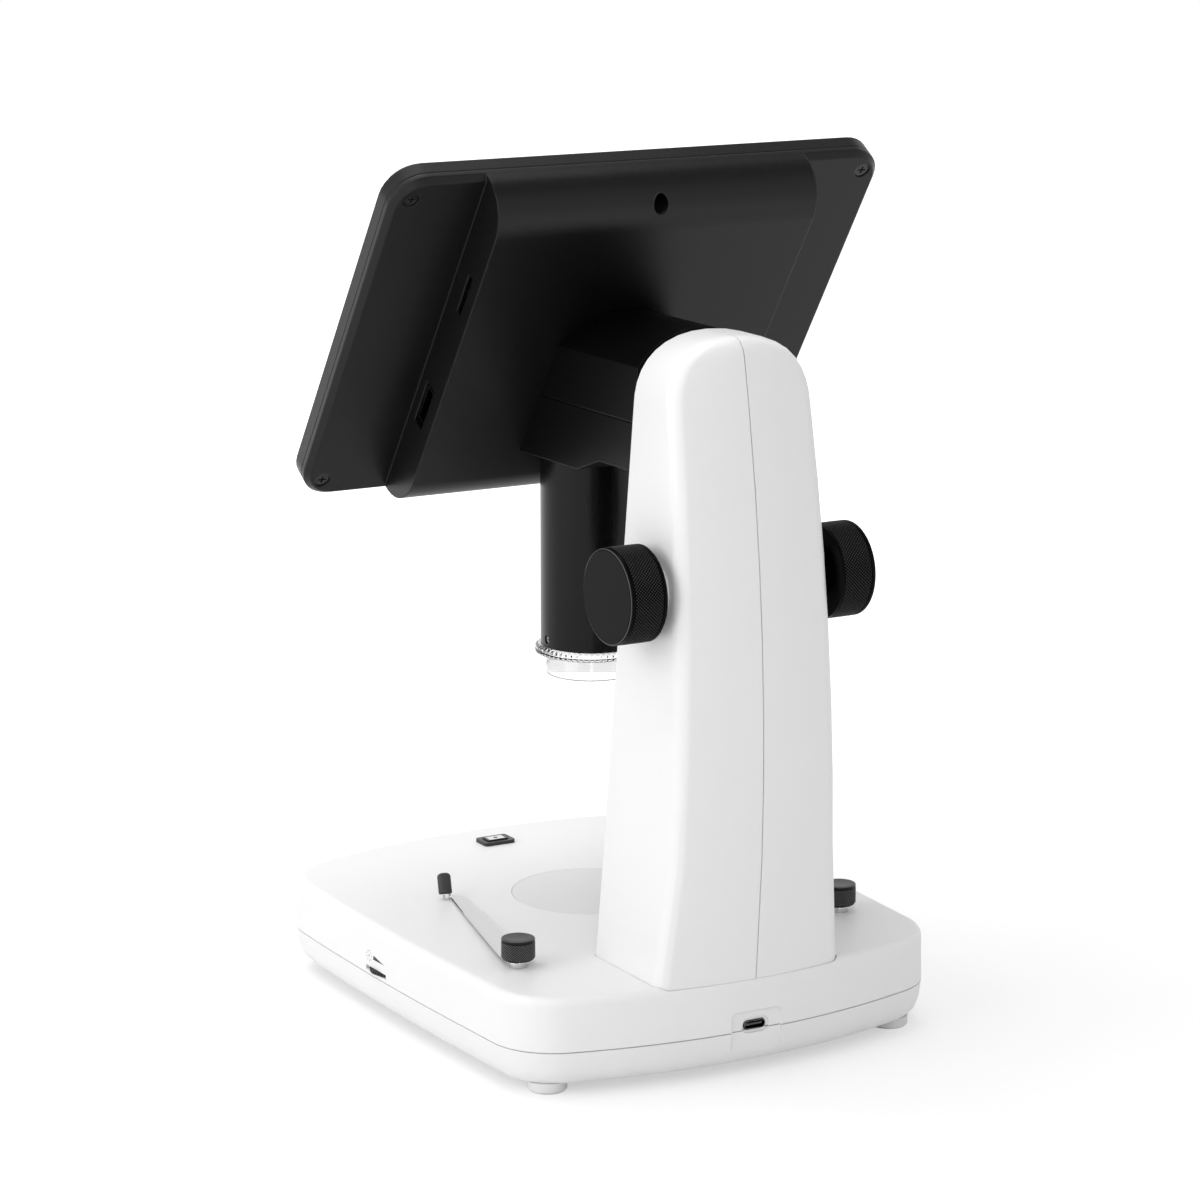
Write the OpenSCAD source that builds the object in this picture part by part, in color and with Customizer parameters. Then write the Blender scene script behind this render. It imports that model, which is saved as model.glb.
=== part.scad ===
// Digital microscope with a fixed tilted screen, a rack-focused head and a lit stage.
// Millimetres, +Z up. The origin is on the table under the middle of the whole instrument,
// the user stands on the -Y side and the column stands on the +Y side.

/* [Base] */
// Half width of the base at its widest
base_half_w = 91.8; // [85:0.1:98]
// Distance from the origin to the front edge of the base
base_front = 111; // [105:0.5:116]
// Distance from the origin to the back edge of the base
base_back = 108; // [106:0.5:109.5]
// Height of the top face of the base above the table
base_top = 36.7; // [34:0.1:40]
// Height of the joint between the two base shells
base_seam = 17; // [14:0.5:20]
// Distance of the ballast plate from the back of the base
ballast_from_back = 80; // [60:1:100]
// Height of the feet
foot_h = 4.5; // [3:0.5:6]
// Radius of a foot
foot_r = 7.2; // [5:0.1:9]
// Wall thickness of the moulded shells
wall = 2.4; // [2:0.1:3]

/* [Stage] */
// Distance of the optical axis in front of the origin
axis_front = 12; // [8:0.5:16]
// Radius of the frosted stage disc
disc_r = 30; // [24:0.5:34]
// Distance of the clip studs in from the sides of the base
clip_inset = 23.6; // [20:0.1:30]
// Distance of the clip studs in front of the back edge of the base
clip_from_back = 52; // [48:0.5:58]
// Radius of the knurled clip screws
clip_screw_r = 6.2; // [5:0.1:7]

/* [Column] */
// Height of the column above the top of the base
column_h = 226.6; // [218:0.1:236]
// Half width of the column at the middle of its flare
column_half_w = 33.9; // [30:0.1:34]
// How far the back of the column bulges out behind the base
column_bulge = 3; // [2:0.1:4]

/* [Focus] */
// How far the head travels down from its top stop
focus_travel = 55; // [30:1:56]
// Height of the column's top above the focus shaft
shaft_drop = 87.4; // [83:0.1:92]
// Distance of the focus shaft in front of the back of the column
shaft_from_back = 23.1; // [21.5:0.1:25]
// Radius of the focus shaft
shaft_r = 3; // [2.5:0.1:3.5]
// Radius of the focus knobs
knob_r = 17.2; // [14:0.1:19]
// Length of a focus knob along its shaft
knob_len = 15.0; // [14:0.1:20]
// Gear module of the rack and pinion
gear_m = 1; // [0.8:0.1:1.2]

/* [Head] */
// Half width of the head housing
head_half_w = 24.5; // [23:0.1:26]
// Radius of the arched roof of the head
roof_r = 30; // [28:0.5:34]
// Height of the head from its underside to its roof
head_h = 55.9; // [52:0.1:60]
// Height of the head's lower cover
head_cover_h = 23.2; // [20:0.1:26]
// Height of the carriage that the head hangs on
carriage_h = 86.5; // [70:0.5:95]
// Radius of the microscope tube
tube_r = 18.8; // [17:0.1:20.5]
// Length of the tube below the head
tube_len = 73.5; // [70:0.5:78]

/* [Screen] */
// Half width of the screen case
case_half_w = 100.5; // [96:0.1:105]
// Half height of the screen case
case_half_h = 75.5; // [72:0.1:80]
// Backward lean of the screen from vertical, in degrees
screen_lean = 34.1; // [30:0.1:38]
// Thickness of the flat ends of the case
case_t = 11.5; // [10:0.1:14]
// How far the middle of the back cover stands out
crown_t = 16.5; // [12:0.1:18]
// Half width of the thick middle of the back cover
crown_half_w = 65.5; // [60:0.1:70]
// Width of the lit picture area
lcd_w = 154.1; // [150:0.1:162]
// Height of the lit picture area
lcd_h = 85.9; // [80:0.1:92]

/* [Hidden] */

// heights and depths that the parts hang from
column_back = base_back + column_bulge;
column_top = base_top + column_h;
shaft_y = column_back - shaft_from_back;
shaft_z = column_top - shaft_drop;
roof_top = column_top;
head_bottom = roof_top - head_h;
head_seam = head_bottom + head_cover_h;
step_z = head_bottom + 5.6;              // underside of the head behind the tube
tube_end = head_bottom - tube_len;
carriage_z1 = column_top - 18.8;
carriage_z0 = carriage_z1 - carriage_h;
neck_z0 = step_z + 0.5;
rod_y = shaft_y - 9.9;
rod_z0 = carriage_z0 - focus_travel - 11;
rod_z1 = column_top - 12.8;
slot_bottom = neck_z0 - focus_travel - 10.5;
slot_top = carriage_z1 + 1.5;

eps = 0.01;          // thickness of the slices that a hull joins
seat = 0.05;         // gap between two faces that are seated on each other
run_gap = 0.04;      // radial running clearance of shafts in bushes
slip = 0.3;          // clearance round covers, keys and sliding bodies
tall = 400;          // longer than anything in the model

white_c = [0.93, 0.93, 0.93];
black_c = [0.1, 0.1, 0.11];
steel_c = [0.72, 0.72, 0.74];
brass_c = [0.78, 0.62, 0.3];
board_c = [0.1, 0.32, 0.18];
clear_c = [0.85, 0.9, 0.92, 0.5];

axis_y = -axis_front;

// ---------- base shells: a rounded plan with bowed edges, drawn as one closed outline ----------
corner_r = 25;
corner_x_back = 63.5;
corner_x_front = 66;
corner_inset_y = 34.5;         // from the bowed edge's middle to the corner centre
end_bow = 0.0021;              // curvature of the front and back edges
side_bow = 0.00033;            // curvature of the sides
side_mid_y = -30;              // where the base is widest
side_len = 112;                // straightest stretch of the sides
edge_half = 70;                // where the front and back bows hand over to the corners
bow_tilt = 16.5;               // angle at which they do

function side_x(y) = base_half_w - side_bow * pow(y - side_mid_y, 2);
function corner_points(cx, cy, a0, a1, inset) =
    [for (i = [0:9]) let (a = a0 + (a1 - a0) * i / 9)
        [cx + (corner_r - inset) * cos(a), cy + (corner_r - inset) * sin(a)]];
function mirror_points(pts) = [for (i = [len(pts) - 1:-1:0]) [-pts[i][0], pts[i][1]]];
function base_half_outline(inset) = concat(
    [for (i = [0:8]) let (x = edge_half * i / 9) [x, -base_front + inset + end_bow * x * x]],
    corner_points(corner_x_front, corner_inset_y + 1.3 - base_front, bow_tilt - 90, -4, inset),
    [for (i = [0:8]) let (y = base_back - 62 - side_len * (1 - i / 8)) [side_x(y) - inset, y]],
    corner_points(corner_x_back, base_back - corner_inset_y, 4, 90 - bow_tilt, inset),
    [for (i = [0:8]) let (x = edge_half * (9 - i) / 9) [x, base_back - inset - end_bow * x * x]]);
function base_outline(inset) = let (half = base_half_outline(inset))
    concat(half, mirror_points([for (i = [1:len(half) - 1]) half[i]]));

module base_slice(z, inset) {
    translate([0, 0, z]) linear_extrude(eps) polygon(base_outline(inset));
}

rim_r = 3.2;                   // rounding of the top rim
module base_upper_block(inset, z0, z1) {
    hull() {
        base_slice(z0, inset);
        for (a = [0:18:90])
            base_slice(z1 - eps - rim_r * (1 - sin(a)), inset + 0.3 + rim_r * (1 - cos(a)));
    }
}

module base_lower_block(inset, z0, z1) {
    hull() {
        base_slice(z1 - eps, inset);
        base_slice(z0 + 6, inset + 0.8);
        base_slice(z0 + 2.2, inset + 2.2);
        base_slice(z0, inset + 4.6);
    }
}

base_lower_floor = foot_h + wall;
foot_x = base_half_w - 19.8;
foot_ys = [base_back - 24, 23 - base_front];
base_screw_x = base_half_w - 33.8;
base_screw_ys = [base_back - 26, 27 - base_front];
screw_head_r = 2.8;
screw_r = 1.5;
base_screw_len = 20;
top_wall_z = base_top - wall - 0.6;      // underside of the top wall
pocket_depth = 1.2;                      // how deep the column sits in the top face
wire_y = base_back - 26;                 // way for the wires up the column
wire_r = 6;
column_foot = base_top - pocket_depth;
post_x = column_half_w - 9.8;            // column fixing posts
post_ys = [column_back - 43, column_back - 19];
clip_x = base_half_w - clip_inset;
clip_y = base_back - clip_from_back;

// the sockets and controls that break through the base
port_z = base_seam + 1.4;
port_half_w = 4.65;
port_half_h = 1.8;
port_bevel = 1;
port_panel_half_w = 10.2;
port_panel_top = base_seam + 7;
port_panel_depth = 1.2;
dimmer_y = -11.5;
dimmer_z = base_seam + 2.25;
dimmer_wheel_r = 9.3;
dimmer_wheel_t = 1.1;
dimmer_out = 1.3;                        // how far the wheel stands out of the wall
dimmer_x = side_x(dimmer_y) - dimmer_wheel_r + dimmer_out;
dimmer_slot_l = 16;
dimmer_slot_h = dimmer_wheel_t + 0.6;
switch_y = 22 - base_front;
switch_half_w = 6.7;
switch_half_d = 4.7;
switch_lip = 1.3;
switch_travel = 0.8;

module at_feet() {
    for (x = [-foot_x, foot_x]) for (y = foot_ys) translate([x, y, 0]) children();
}

module at_base_screws() {
    for (x = [-base_screw_x, base_screw_x]) for (y = base_screw_ys) translate([x, y, 0]) children();
}

module at_clip(side) {
    translate([side * clip_x, clip_y, 0]) children();
}

// recessed panel with round upper corners, and the stepped hole for the plug
module port_window() {
    face_y = base_back - port_panel_depth;
    translate([0, face_y, 0]) rotate([-90, 0, 0]) mirror([0, 1, 0]) linear_extrude(10) {
        translate([-port_panel_half_w, -1]) square([2 * port_panel_half_w, port_panel_top - 1]);
        for (x = [-1, 1]) translate([x * (port_panel_half_w - 2), port_panel_top - 2])
            circle(r = 2, $fn = 32);
        translate([2 - port_panel_half_w, -1]) square([2 * port_panel_half_w - 4, port_panel_top + 1]);
    }
    translate([0, face_y + 1, port_z]) rotate([90, 0, 0]) stadium(port_half_w, port_half_h, 12);
    translate([0, face_y + 1, port_z]) rotate([90, 0, 0])
        stadium(port_half_w + port_bevel, port_half_h + port_bevel, 1.8);
}

module column_pocket() {
    translate([0, 0, column_foot]) linear_extrude(tall) offset_column(slip);
}

module offset_column(gap) {
    polygon(column_section(base_top, -gap));
}

module base_upper_shell() {
    color(white_c)
    difference() {
        base_upper_block(0, base_seam + seat, base_top);
        difference() {
            base_upper_block(wall, base_seam - 1, top_wall_z);
            // posts that take the screws from below
            at_base_screws() cylinder(r = 4, h = tall, $fn = 32);
            for (side = [-1, 1]) at_clip(side) cylinder(r = 6, h = tall, $fn = 32);
            // rim under the stage disc
            translate([0, axis_y, top_wall_z - 4]) cylinder(r = disc_r + wall, h = tall, $fn = 64);
        }
        at_base_screws() translate([0, 0, base_seam - 2]) cylinder(r = screw_r, h = base_screw_len - 5, $fn = 24);
        for (side = [-1, 1]) at_clip(side) translate([0, 0, collar_z0]) cylinder(r = collar_r, h = 20, $fn = 32);
        // seat for the disc and the way through for its light
        translate([0, axis_y, base_top - 3]) cylinder(r = disc_r + 0.15, h = 10, $fn = 96);
        translate([0, axis_y, base_seam]) cylinder(r = disc_r - 2, h = 40, $fn = 96);
        // recess that the column stands in, with its screw holes
        column_pocket();
        for (x = [-post_x, post_x]) for (y = post_ys)
            translate([x, y, column_foot - 12]) cylinder(r = screw_r + 0.2, h = 20, $fn = 24);
        translate([0, wire_y, column_foot - 12]) cylinder(r = wire_r, h = 20, $fn = 32);
        port_window();
        // slot for the dimmer wheel
        translate([side_x(dimmer_y) - 8, dimmer_y - dimmer_slot_l / 2, dimmer_z - dimmer_slot_h / 2])
            cube([20, dimmer_slot_l, dimmer_slot_h]);
        // window for the light switch
        translate([-switch_half_w + 1, switch_y - switch_half_d + 1, base_top - 12])
            cube([2 * switch_half_w - 2, 2 * switch_half_d - 2, 20]);
    }
}

module base_lower_shell() {
    color(white_c)
    difference() {
        base_lower_block(0, foot_h, base_seam - 0.25);
        difference() {
            base_lower_block(wall, foot_h + wall, base_seam + 1);
            at_base_screws() cylinder(r = 4.5, h = tall, $fn = 32);
            // ribs that carry the ballast plate
            for (x = [6 - ballast_half_w, ballast_half_w - 6]) translate([x - 1, ballast_y0 - 2, 0])
                cube([2, ballast_y1 - ballast_y0 + 4, base_lower_floor + 2]);
            // shelf for the power board
            translate([-16, power_board_y + 2, 0]) cube([32, 4, power_board_z - seat]);
        }
        at_base_screws() {
            cylinder(r = screw_head_r + 0.3, h = foot_h + 5, $fn = 32);
            cylinder(r = screw_r + 0.2, h = 40, $fn = 24);
        }
        at_feet() translate([0, 0, foot_h - 1]) cylinder(r = foot_r - 2 + seat, h = 10, $fn = 48);
        port_window();
    }
}

module base_feet() {
    color(white_c)
    at_feet() rotate_extrude($fn = 48)
        polygon([[0, 0], [foot_r - 0.8, 0], [foot_r, 0.8], [foot_r, foot_h - 0.6], [foot_r - 2, foot_h],
            [foot_r - 2, foot_h + wall], [0, foot_h + wall]]);
}

screw_head_h = 1.8;
module countersunk_screw(length) {
    cylinder(r = screw_head_r, h = screw_head_h, $fn = 32);
    cylinder(r = screw_r - seat, h = length, $fn = 24);
}

module base_screws() {
    color(steel_c)
    at_base_screws() translate([0, 0, foot_h + 3.1]) countersunk_screw(20);
}

ballast_half_w = base_half_w - 45.8;
ballast_y0 = 53 - base_front;
ballast_y1 = base_back - ballast_from_back;
ballast_t = 5;
module ballast_plate() {
    color(steel_c)
    translate([0, 0, base_lower_floor + 2 + seat]) difference() {
        translate([-ballast_half_w, ballast_y0, 0])
            cube([2 * ballast_half_w, ballast_y1 - ballast_y0, ballast_t]);
        for (x = [8 - ballast_half_w, ballast_half_w - 8]) for (y = [ballast_y0 + 8, ballast_y1 - 8])
            translate([x, y, -1]) cylinder(r = 2.2, h = ballast_t + 2, $fn = 24);
    }
}

module stage_disc() {
    color([0.95, 0.95, 0.94, 0.9])
    translate([0, axis_y, base_top - 3 + seat]) cylinder(r = disc_r, h = 3 - seat, $fn = 96);
}

light_ring_rs = [9, 20];
module stage_light_board() {
    color(board_c) {
        translate([0, axis_y, top_wall_z - 5.6 - seat]) difference() {
            cylinder(r = disc_r + 1, h = 1.6, $fn = 64);
            translate([0, 0, -1]) cylinder(r = 2, h = 4, $fn = 24);
        }
    }
    color([0.95, 0.9, 0.6])
    for (r = light_ring_rs) for (a = [0:360 / (r / 1.5):359])
        translate([0, axis_y, top_wall_z - 4 - seat]) rotate(a) translate([r, 0, 0.4])
            cube([2.8, 2.8, 0.8], center = true);
}

board_t = 1.6;
power_board_y = base_back - 36;
power_board_z = port_z - 1.6 - board_t;
module power_board() {
    color(board_c)
    translate([-15, power_board_y, power_board_z]) cube([30, 32, board_t]);
}

module usb_c_socket() {
    color(steel_c)
    translate([0, base_back - port_panel_depth - 0.4, port_z]) rotate([90, 0, 0]) difference() {
        stadium(4.47, 1.6, 8.5);
        translate([0, 0, -1]) stadium(4.2, 1.33, 7.5);
    }
    color(black_c)
    translate([-3.35, base_back - port_panel_depth - 8.85, port_z - 0.35]) cube([6.7, 7.6, 0.7]);
}

module stadium(half_w, half_h, length) {
    linear_extrude(length) {
        for (x = [-1, 1]) translate([x * (half_w - half_h), 0]) circle(r = half_h, $fn = 32);
        square([2 * (half_w - half_h), 2 * half_h], center = true);
    }
}

// ---------- stage light controls ----------
module dimmer_body() {
    color(black_c)
    translate([dimmer_x, dimmer_y, base_lower_floor]) {
        translate([-8, -5, seat]) cube([9, 10, dimmer_z - dimmer_wheel_t / 2 - 0.4 - base_lower_floor]);
        translate([0, 0, dimmer_z - dimmer_wheel_t / 2 - 4 - base_lower_floor])
            cylinder(r = 2.5, h = dimmer_wheel_t + 5.5, $fn = 32);
    }
}

module dimmer_wheel() {
    color(black_c)
    translate([dimmer_x, dimmer_y, dimmer_z - dimmer_wheel_t / 2]) difference() {
        union() {
            cylinder(r = dimmer_wheel_r - 0.4, h = dimmer_wheel_t, $fn = 96);
            for (a = [0:9:359]) rotate(a) translate([dimmer_wheel_r - 0.9, -0.35, 0])
                cube([0.9, 0.7, dimmer_wheel_t]);
        }
        translate([0, 0, -1]) cylinder(r = 2.5 + run_gap, h = 10, $fn = 32);
    }
}

module light_switch_frame() {
    color(black_c)
    translate([0, switch_y, 0]) difference() {
        union() {
            translate([0, 0, base_top + seat]) rounded_plate(switch_half_w, switch_half_d, 1.4, switch_lip);
            translate([-switch_half_w + 1.3, -switch_half_d + 1.3, base_top - 9])
                cube([2 * switch_half_w - 2.6, 2 * switch_half_d - 2.6, 9 + seat]);
        }
        translate([-switch_half_w + 2, -switch_half_d + 2, base_top - 7])
            cube([2 * switch_half_w - 4, 2 * switch_half_d - 4, 20]);
    }
}

module rounded_plate(half_w, half_d, r, h) {
    linear_extrude(h) {
        square([2 * half_w, 2 * (half_d - r)], center = true);
        square([2 * (half_w - r), 2 * half_d], center = true);
        for (x = [-1, 1]) for (y = [-1, 1])
            translate([x * (half_w - r), y * (half_d - r)]) circle(r = r, $fn = 32);
    }
}

module light_switch_button() {
    color(white_c)
    translate([0, switch_y, base_top - 5.5])
        rounded_plate(switch_half_w - 2 - 0.2, switch_half_d - 2 - 0.2, 0.5, 5.5 + switch_lip + 0.5);
}

// ---------- stage clips ----------
clip_screw_z = base_top + 2.8;
clip_screw_h = 8;
collar_r = 3.3;
collar_z0 = base_top - 10.7;
strip_t = 0.6;
strip_eye_z = clip_screw_z - strip_t - 0.15;
strip_low_z = base_top + 0.3;
bend_dx = -19.5;                     // where the tip turns up, from the stud, for the left clip
bend_dy = -84.5;
bend_at = sqrt(pow(bend_dx, 2) + pow(bend_dy, 2));
strip_angle = atan2(bend_dy, bend_dx);
strip_eye_r = 5.6;
strip_tip_w = 2.9;                   // half widths of the strip at the bend and of the tongue past it
tongue_w = 1.5;
tongue_out = 4.4;                    // the tongue stands to the outer side of the strip
tongue_len = 8;
tip_angle = 68;
sleeve_from = 1.7;                   // along the tongue from the bend
sleeve_len = 8;
sleeve_half_t = 1.8;
sleeve_half_w = 2.6;
sleeve_gap = 0.25;                   // room between the sleeve and the tongue

module clip_stud(side) {
    color(steel_c)
    at_clip(side) {
        translate([0, 0, collar_z0]) cylinder(r = collar_r - seat, h = clip_screw_z - collar_z0 - seat, $fn = 32);
        translate([0, 0, collar_z0 + 4]) cylinder(r = 2, h = clip_screw_z - collar_z0 + 1, $fn = 32);
    }
}

// side view of the strip: x runs out from the stud, y is height
strip_drop = strip_low_z - strip_eye_z;
function tongue_point(along, up) = [bend_at + along * cos(tip_angle) - up * sin(tip_angle),
    strip_drop + along * sin(tip_angle) + up * cos(tip_angle)];
strip_side = [[-6, 0], [6, 0], [bend_at, strip_drop], tongue_point(tongue_len, 0), tongue_point(tongue_len, strip_t),
    [bend_at - strip_t * tan(tip_angle / 2), strip_drop + strip_t], [6, strip_t], [-6, strip_t]];

module strip_frame(side) {
    at_clip(side) translate([0, 0, strip_eye_z]) mirror([side < 0 ? 1 : 0, 0, 0])
        rotate(strip_angle) children();
}

module clip_spring(side) {
    color([0.8, 0.8, 0.82])
    strip_frame(side) difference() {
        intersection() {
            rotate([90, 0, 0]) translate([0, 0, -10]) linear_extrude(20) polygon(strip_side);
            translate([0, 0, -5]) linear_extrude(20) {
                circle(r = strip_eye_r, $fn = 48);
                polygon([[0, -strip_eye_r], [bend_at, -strip_tip_w], [bend_at, strip_tip_w], [0, strip_eye_r]]);
                // the tongue leaves the outer corner of the strip
                polygon([[bend_at - 4, 0], [bend_at - 0.8, tongue_out - tongue_w], [bend_at + 6, tongue_out - tongue_w],
                    [bend_at + 6, tongue_out + tongue_w], [bend_at - 0.8, tongue_out + tongue_w],
                    [bend_at - 4, strip_tip_w + 0.3]]);
            }
        }
        translate([0, 0, -5]) cylinder(r = collar_r + run_gap, h = 20, $fn = 48);
    }
}

module clip_sleeve(side) {
    color(black_c)
    strip_frame(side) translate([bend_at, tongue_out, strip_drop]) rotate([0, 90 - tip_angle, 0])
        translate([-strip_t / 2, 0, sleeve_from]) difference() {
            linear_extrude(sleeve_len) hull() for (y = [-1, 1])
                translate([0, y * (sleeve_half_w - sleeve_half_t)]) circle(r = sleeve_half_t, $fn = 48);
            translate([-strip_t / 2 - sleeve_gap, -tongue_w - sleeve_gap, -1])
                cube([strip_t + 2 * sleeve_gap, 2 * (tongue_w + sleeve_gap), tongue_len - sleeve_from + 1.4]);
        }
}

module clip_screw(side) {
    color(black_c)
    at_clip(side) translate([0, 0, clip_screw_z]) difference() {
        union() {
            rotate_extrude($fn = 64) polygon([[0, 0], [clip_screw_r - 0.9, 0], [clip_screw_r - 0.25, 0.7],
                [clip_screw_r - 0.25, clip_screw_h - 1.2], [clip_screw_r - 0.9, clip_screw_h - 0.3],
                [0, clip_screw_h]]);
            for (a = [0:12:359]) rotate(a) translate([clip_screw_r - 0.9, -0.3, 0.9])
                cube([0.9, 0.6, clip_screw_h - 2.4]);
        }
        translate([0, 0, -1]) cylinder(r = 2 + run_gap, h = 6.2, $fn = 32);
    }
}

// ---------- column: slices between the base and an arched top ----------
column_seam_gap = 0.3;
flare_z = base_top + 43.3;
taper = 0.031;
flare = 0.093;
arch_z = column_top - 25.3;                          // where the sides turn into the arch
arch_power = 2.4;
back_bulge_z = base_top + 73.3;
back_curve = 0.0007;
back_bow = 2.2;                          // how far the back bows out between its corners
back_edge_r = 6;
front_low_y = column_back - 54.5;
front_top_y = column_back - 40.5;
front_turn_z = base_top + 38.3;

function side_half_w(z) = z < flare_z ? column_half_w + flare * (flare_z - z)
    : column_half_w - taper * (z - flare_z);
function arch_half_w(z, inset) = let (t = (z - arch_z) / (column_top - inset - arch_z))
    (side_half_w(arch_z) - inset) * pow(max(0, 1 - pow(t, arch_power)), 1 / arch_power);
function half_w(z, inset) = z <= arch_z ? side_half_w(z) - inset : arch_half_w(z, inset);
function front_y(z) = z < front_turn_z ? front_low_y + 0.03 * (front_turn_z - z)
    : front_low_y + (front_top_y - front_low_y) * (z - front_turn_z) / (column_top - front_turn_z);
function top_round(z, inset) = let (d = max(0, back_edge_r - (column_top - inset - z)))
    back_edge_r - sqrt(max(0, back_edge_r * back_edge_r - d * d));
function back_y(z, inset) = column_back - back_curve * pow(z - back_bulge_z, 2) - inset - top_round(z, inset);
function column_half_section(z, inset) =
    let (w = half_w(z, inset), r = min(back_edge_r, w * 0.6), yb = back_y(z, inset), yc = yb - back_bow * w / 30)
    concat([[0, front_y(z) + inset], [w - 1.2, front_y(z) + inset], [w, front_y(z) + inset + 1.2]],
        [for (a = [0:15:75]) [w - r + r * cos(a), yc - r + r * sin(a)]],
        [for (i = [0:4]) let (x = (w - r) * (1 - i / 4)) [x, yb - (yb - yc) * pow(x / (w - r), 2)]]);
function column_section(z, inset) = let (half = column_half_section(z, inset))
    concat([for (i = [0:len(half) - 2]) half[i]],
        mirror_points([for (i = [1:len(half) - 1]) half[i]]));

module column_slice(z, inset) {
    translate([0, 0, z]) linear_extrude(eps) polygon(column_section(z, inset));
}

module column_block(inset, z0) {
    top = column_top - inset;
    hull() {
        column_slice(z0, inset);
        column_slice(flare_z, inset);
    }
    hull() {
        for (i = [0:5]) column_slice(flare_z + (arch_z - flare_z) * i / 6, inset);
        for (a = [0:10:80]) column_slice(arch_z + (top - arch_z) * sin(a), inset);
        column_slice(top - eps, inset);
    }
}

slot_half_w = column_half_w - 11;
rod_x = column_half_w - 14.3;
rod_r = 3;
block_t = 5;
block_front = 5;                         // from the rods to the front of the blocks
block_d = 15;
shelf_t = 2.4;
boss_x = column_half_w - 1.6;            // outer face of the flat bosses round the bushes
boss_r = 10;
bush_r = 5;
bush_len = 6;
join_screw_zs = [base_top + 25.3, base_top + 83.3, column_top - 48.3];
join_post_r = 3.6;
join_screw_len = 24;
post_top = base_top + 23.3;
blank_w = 90;                            // wider and deeper than the column

function join_screw_y(z) = back_y(z, wall) - 9.5;

module at_column_posts(z) {
    for (x = [-post_x, post_x]) for (y = post_ys) translate([x, y, z]) children();
}

module at_join_screws(x0) {
    for (z = join_screw_zs) translate([x0, join_screw_y(z), z]) rotate([0, 90, 0]) children();
}

module column_ribs() {
    // shelves that the rod blocks rest against
    translate([-blank_w / 2, rod_y - 18, rod_z1 + seat]) cube([blank_w, blank_w, shelf_t]);
    difference() {
        translate([-blank_w / 2, rod_y - 28, rod_z0 - shelf_t - seat]) cube([blank_w, blank_w, shelf_t]);
        translate([-12, rod_y - 18, rod_z0 - 10]) cube([24, 30, 20]);
    }
    // posts that take the screws from the base, tied to the walls
    at_column_posts(column_foot - 1) cylinder(r = 4.5, h = post_top - column_foot + 1, $fn = 32);
    for (side = [-1, 1]) for (y = post_ys) translate([side > 0 ? post_x : -post_x - 20, y - 1, column_foot - 1])
        cube([20, 2, post_top - column_foot - 4]);
    // posts that the halves are screwed together through
    at_join_screws(-blank_w / 2) cylinder(r = join_post_r, h = blank_w, $fn = 32);
}

module column_shell(side) {
    color(white_c)
    difference() {
        intersection() {
            union() {
                difference() {
                    column_block(0, column_foot + seat);
                    difference() {
                        column_block(wall, column_foot - 1);
                        column_ribs();
                    }
                }
                for (x = [-boss_x, boss_x]) translate([x, shaft_y, shaft_z]) rotate([0, -90 * sign(x), 0])
                    cylinder(r = boss_r, h = 4.7, $fn = 64);
            }
            translate([side > 0 ? column_seam_gap / 2 : -tall, -tall / 2, 0])
                cube([tall - column_seam_gap / 2, tall, tall]);
        }
        // slot that the neck of the carriage runs in
        translate([-slot_half_w, rod_y - 38, slot_bottom])
            cube([2 * slot_half_w, 35, slot_top - slot_bottom]);
        // bores for the bushes
        translate([-blank_w, shaft_y, shaft_z]) rotate([0, 90, 0]) cylinder(r = bush_r, h = 2 * blank_w, $fn = 48);
        // fixing holes
        at_column_posts(column_foot - 1) cylinder(r = screw_r, h = column_screw_len + 3, $fn = 24);
        at_join_screws(-join_screw_len / 2 - 3) cylinder(r = screw_r, h = join_screw_len + 6, $fn = 24);
    }
}

bracket_t = 3;
bracket_z = top_wall_z - bracket_t;
column_screw_len = 18;
module column_screws() {
    color(steel_c) {
        at_join_screws(-join_screw_len / 2) cylinder(r = screw_r - seat, h = join_screw_len, $fn = 24);
        at_column_posts(bracket_z - screw_head_h - seat) countersunk_screw(column_screw_len);
    }
}

module column_bracket() {
    color(steel_c)
    translate([0, 0, bracket_z]) difference() {
        translate([-post_x - 10, post_ys[0] - 8, 0])
            cube([2 * post_x + 20, post_ys[1] - post_ys[0] + 16, bracket_t - seat]);
        at_column_posts(-1) cylinder(r = screw_r + 0.2, h = 10, $fn = 24);
        translate([0, wire_y, -1]) cylinder(r = wire_r, h = 10, $fn = 32);
    }
}

module guide_rods() {
    color(steel_c)
    for (x = [-rod_x, rod_x]) translate([x, rod_y, rod_z0]) cylinder(r = rod_r, h = rod_z1 - rod_z0, $fn = 48);
}

module rod_block(z0, half_w) {
    difference() {
        translate([-half_w, rod_y - block_front, z0]) cube([2 * half_w, block_d, block_t]);
        for (x = [-rod_x, rod_x]) translate([x, rod_y, z0 - 1]) cylinder(r = rod_r, h = 20, $fn = 48);
    }
}

module rod_block_upper() {
    color([0.6, 0.6, 0.62]) rod_block(rod_z1 - block_t, half_w(rod_z1, wall) - 0.5);
}

module rod_block_lower() {
    color([0.6, 0.6, 0.62]) rod_block(rod_z0, half_w(rod_z0, wall) - 3);
}

// ---------- focus drive ----------
pinion_teeth = 14;
pitch_r = gear_m * pinion_teeth / 2;
tooth_pitch = 3.14159265 * gear_m;
addendum = 0.8 * gear_m;
dedendum = 1.15 * gear_m;
gear_w = 8;
mesh_gap = 0.15;                         // extra distance between rack and pinion
bush_flange_t = 1.2;
knob_in_x = boss_x + 2.8;
knob_face_x = knob_in_x + knob_len;
knob_hub_r = 8;
shaft_end_x = knob_face_x - 4;

module along_shaft(x0) {
    translate([x0, shaft_y, shaft_z]) rotate([0, 90, 0]) children();
}

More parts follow.
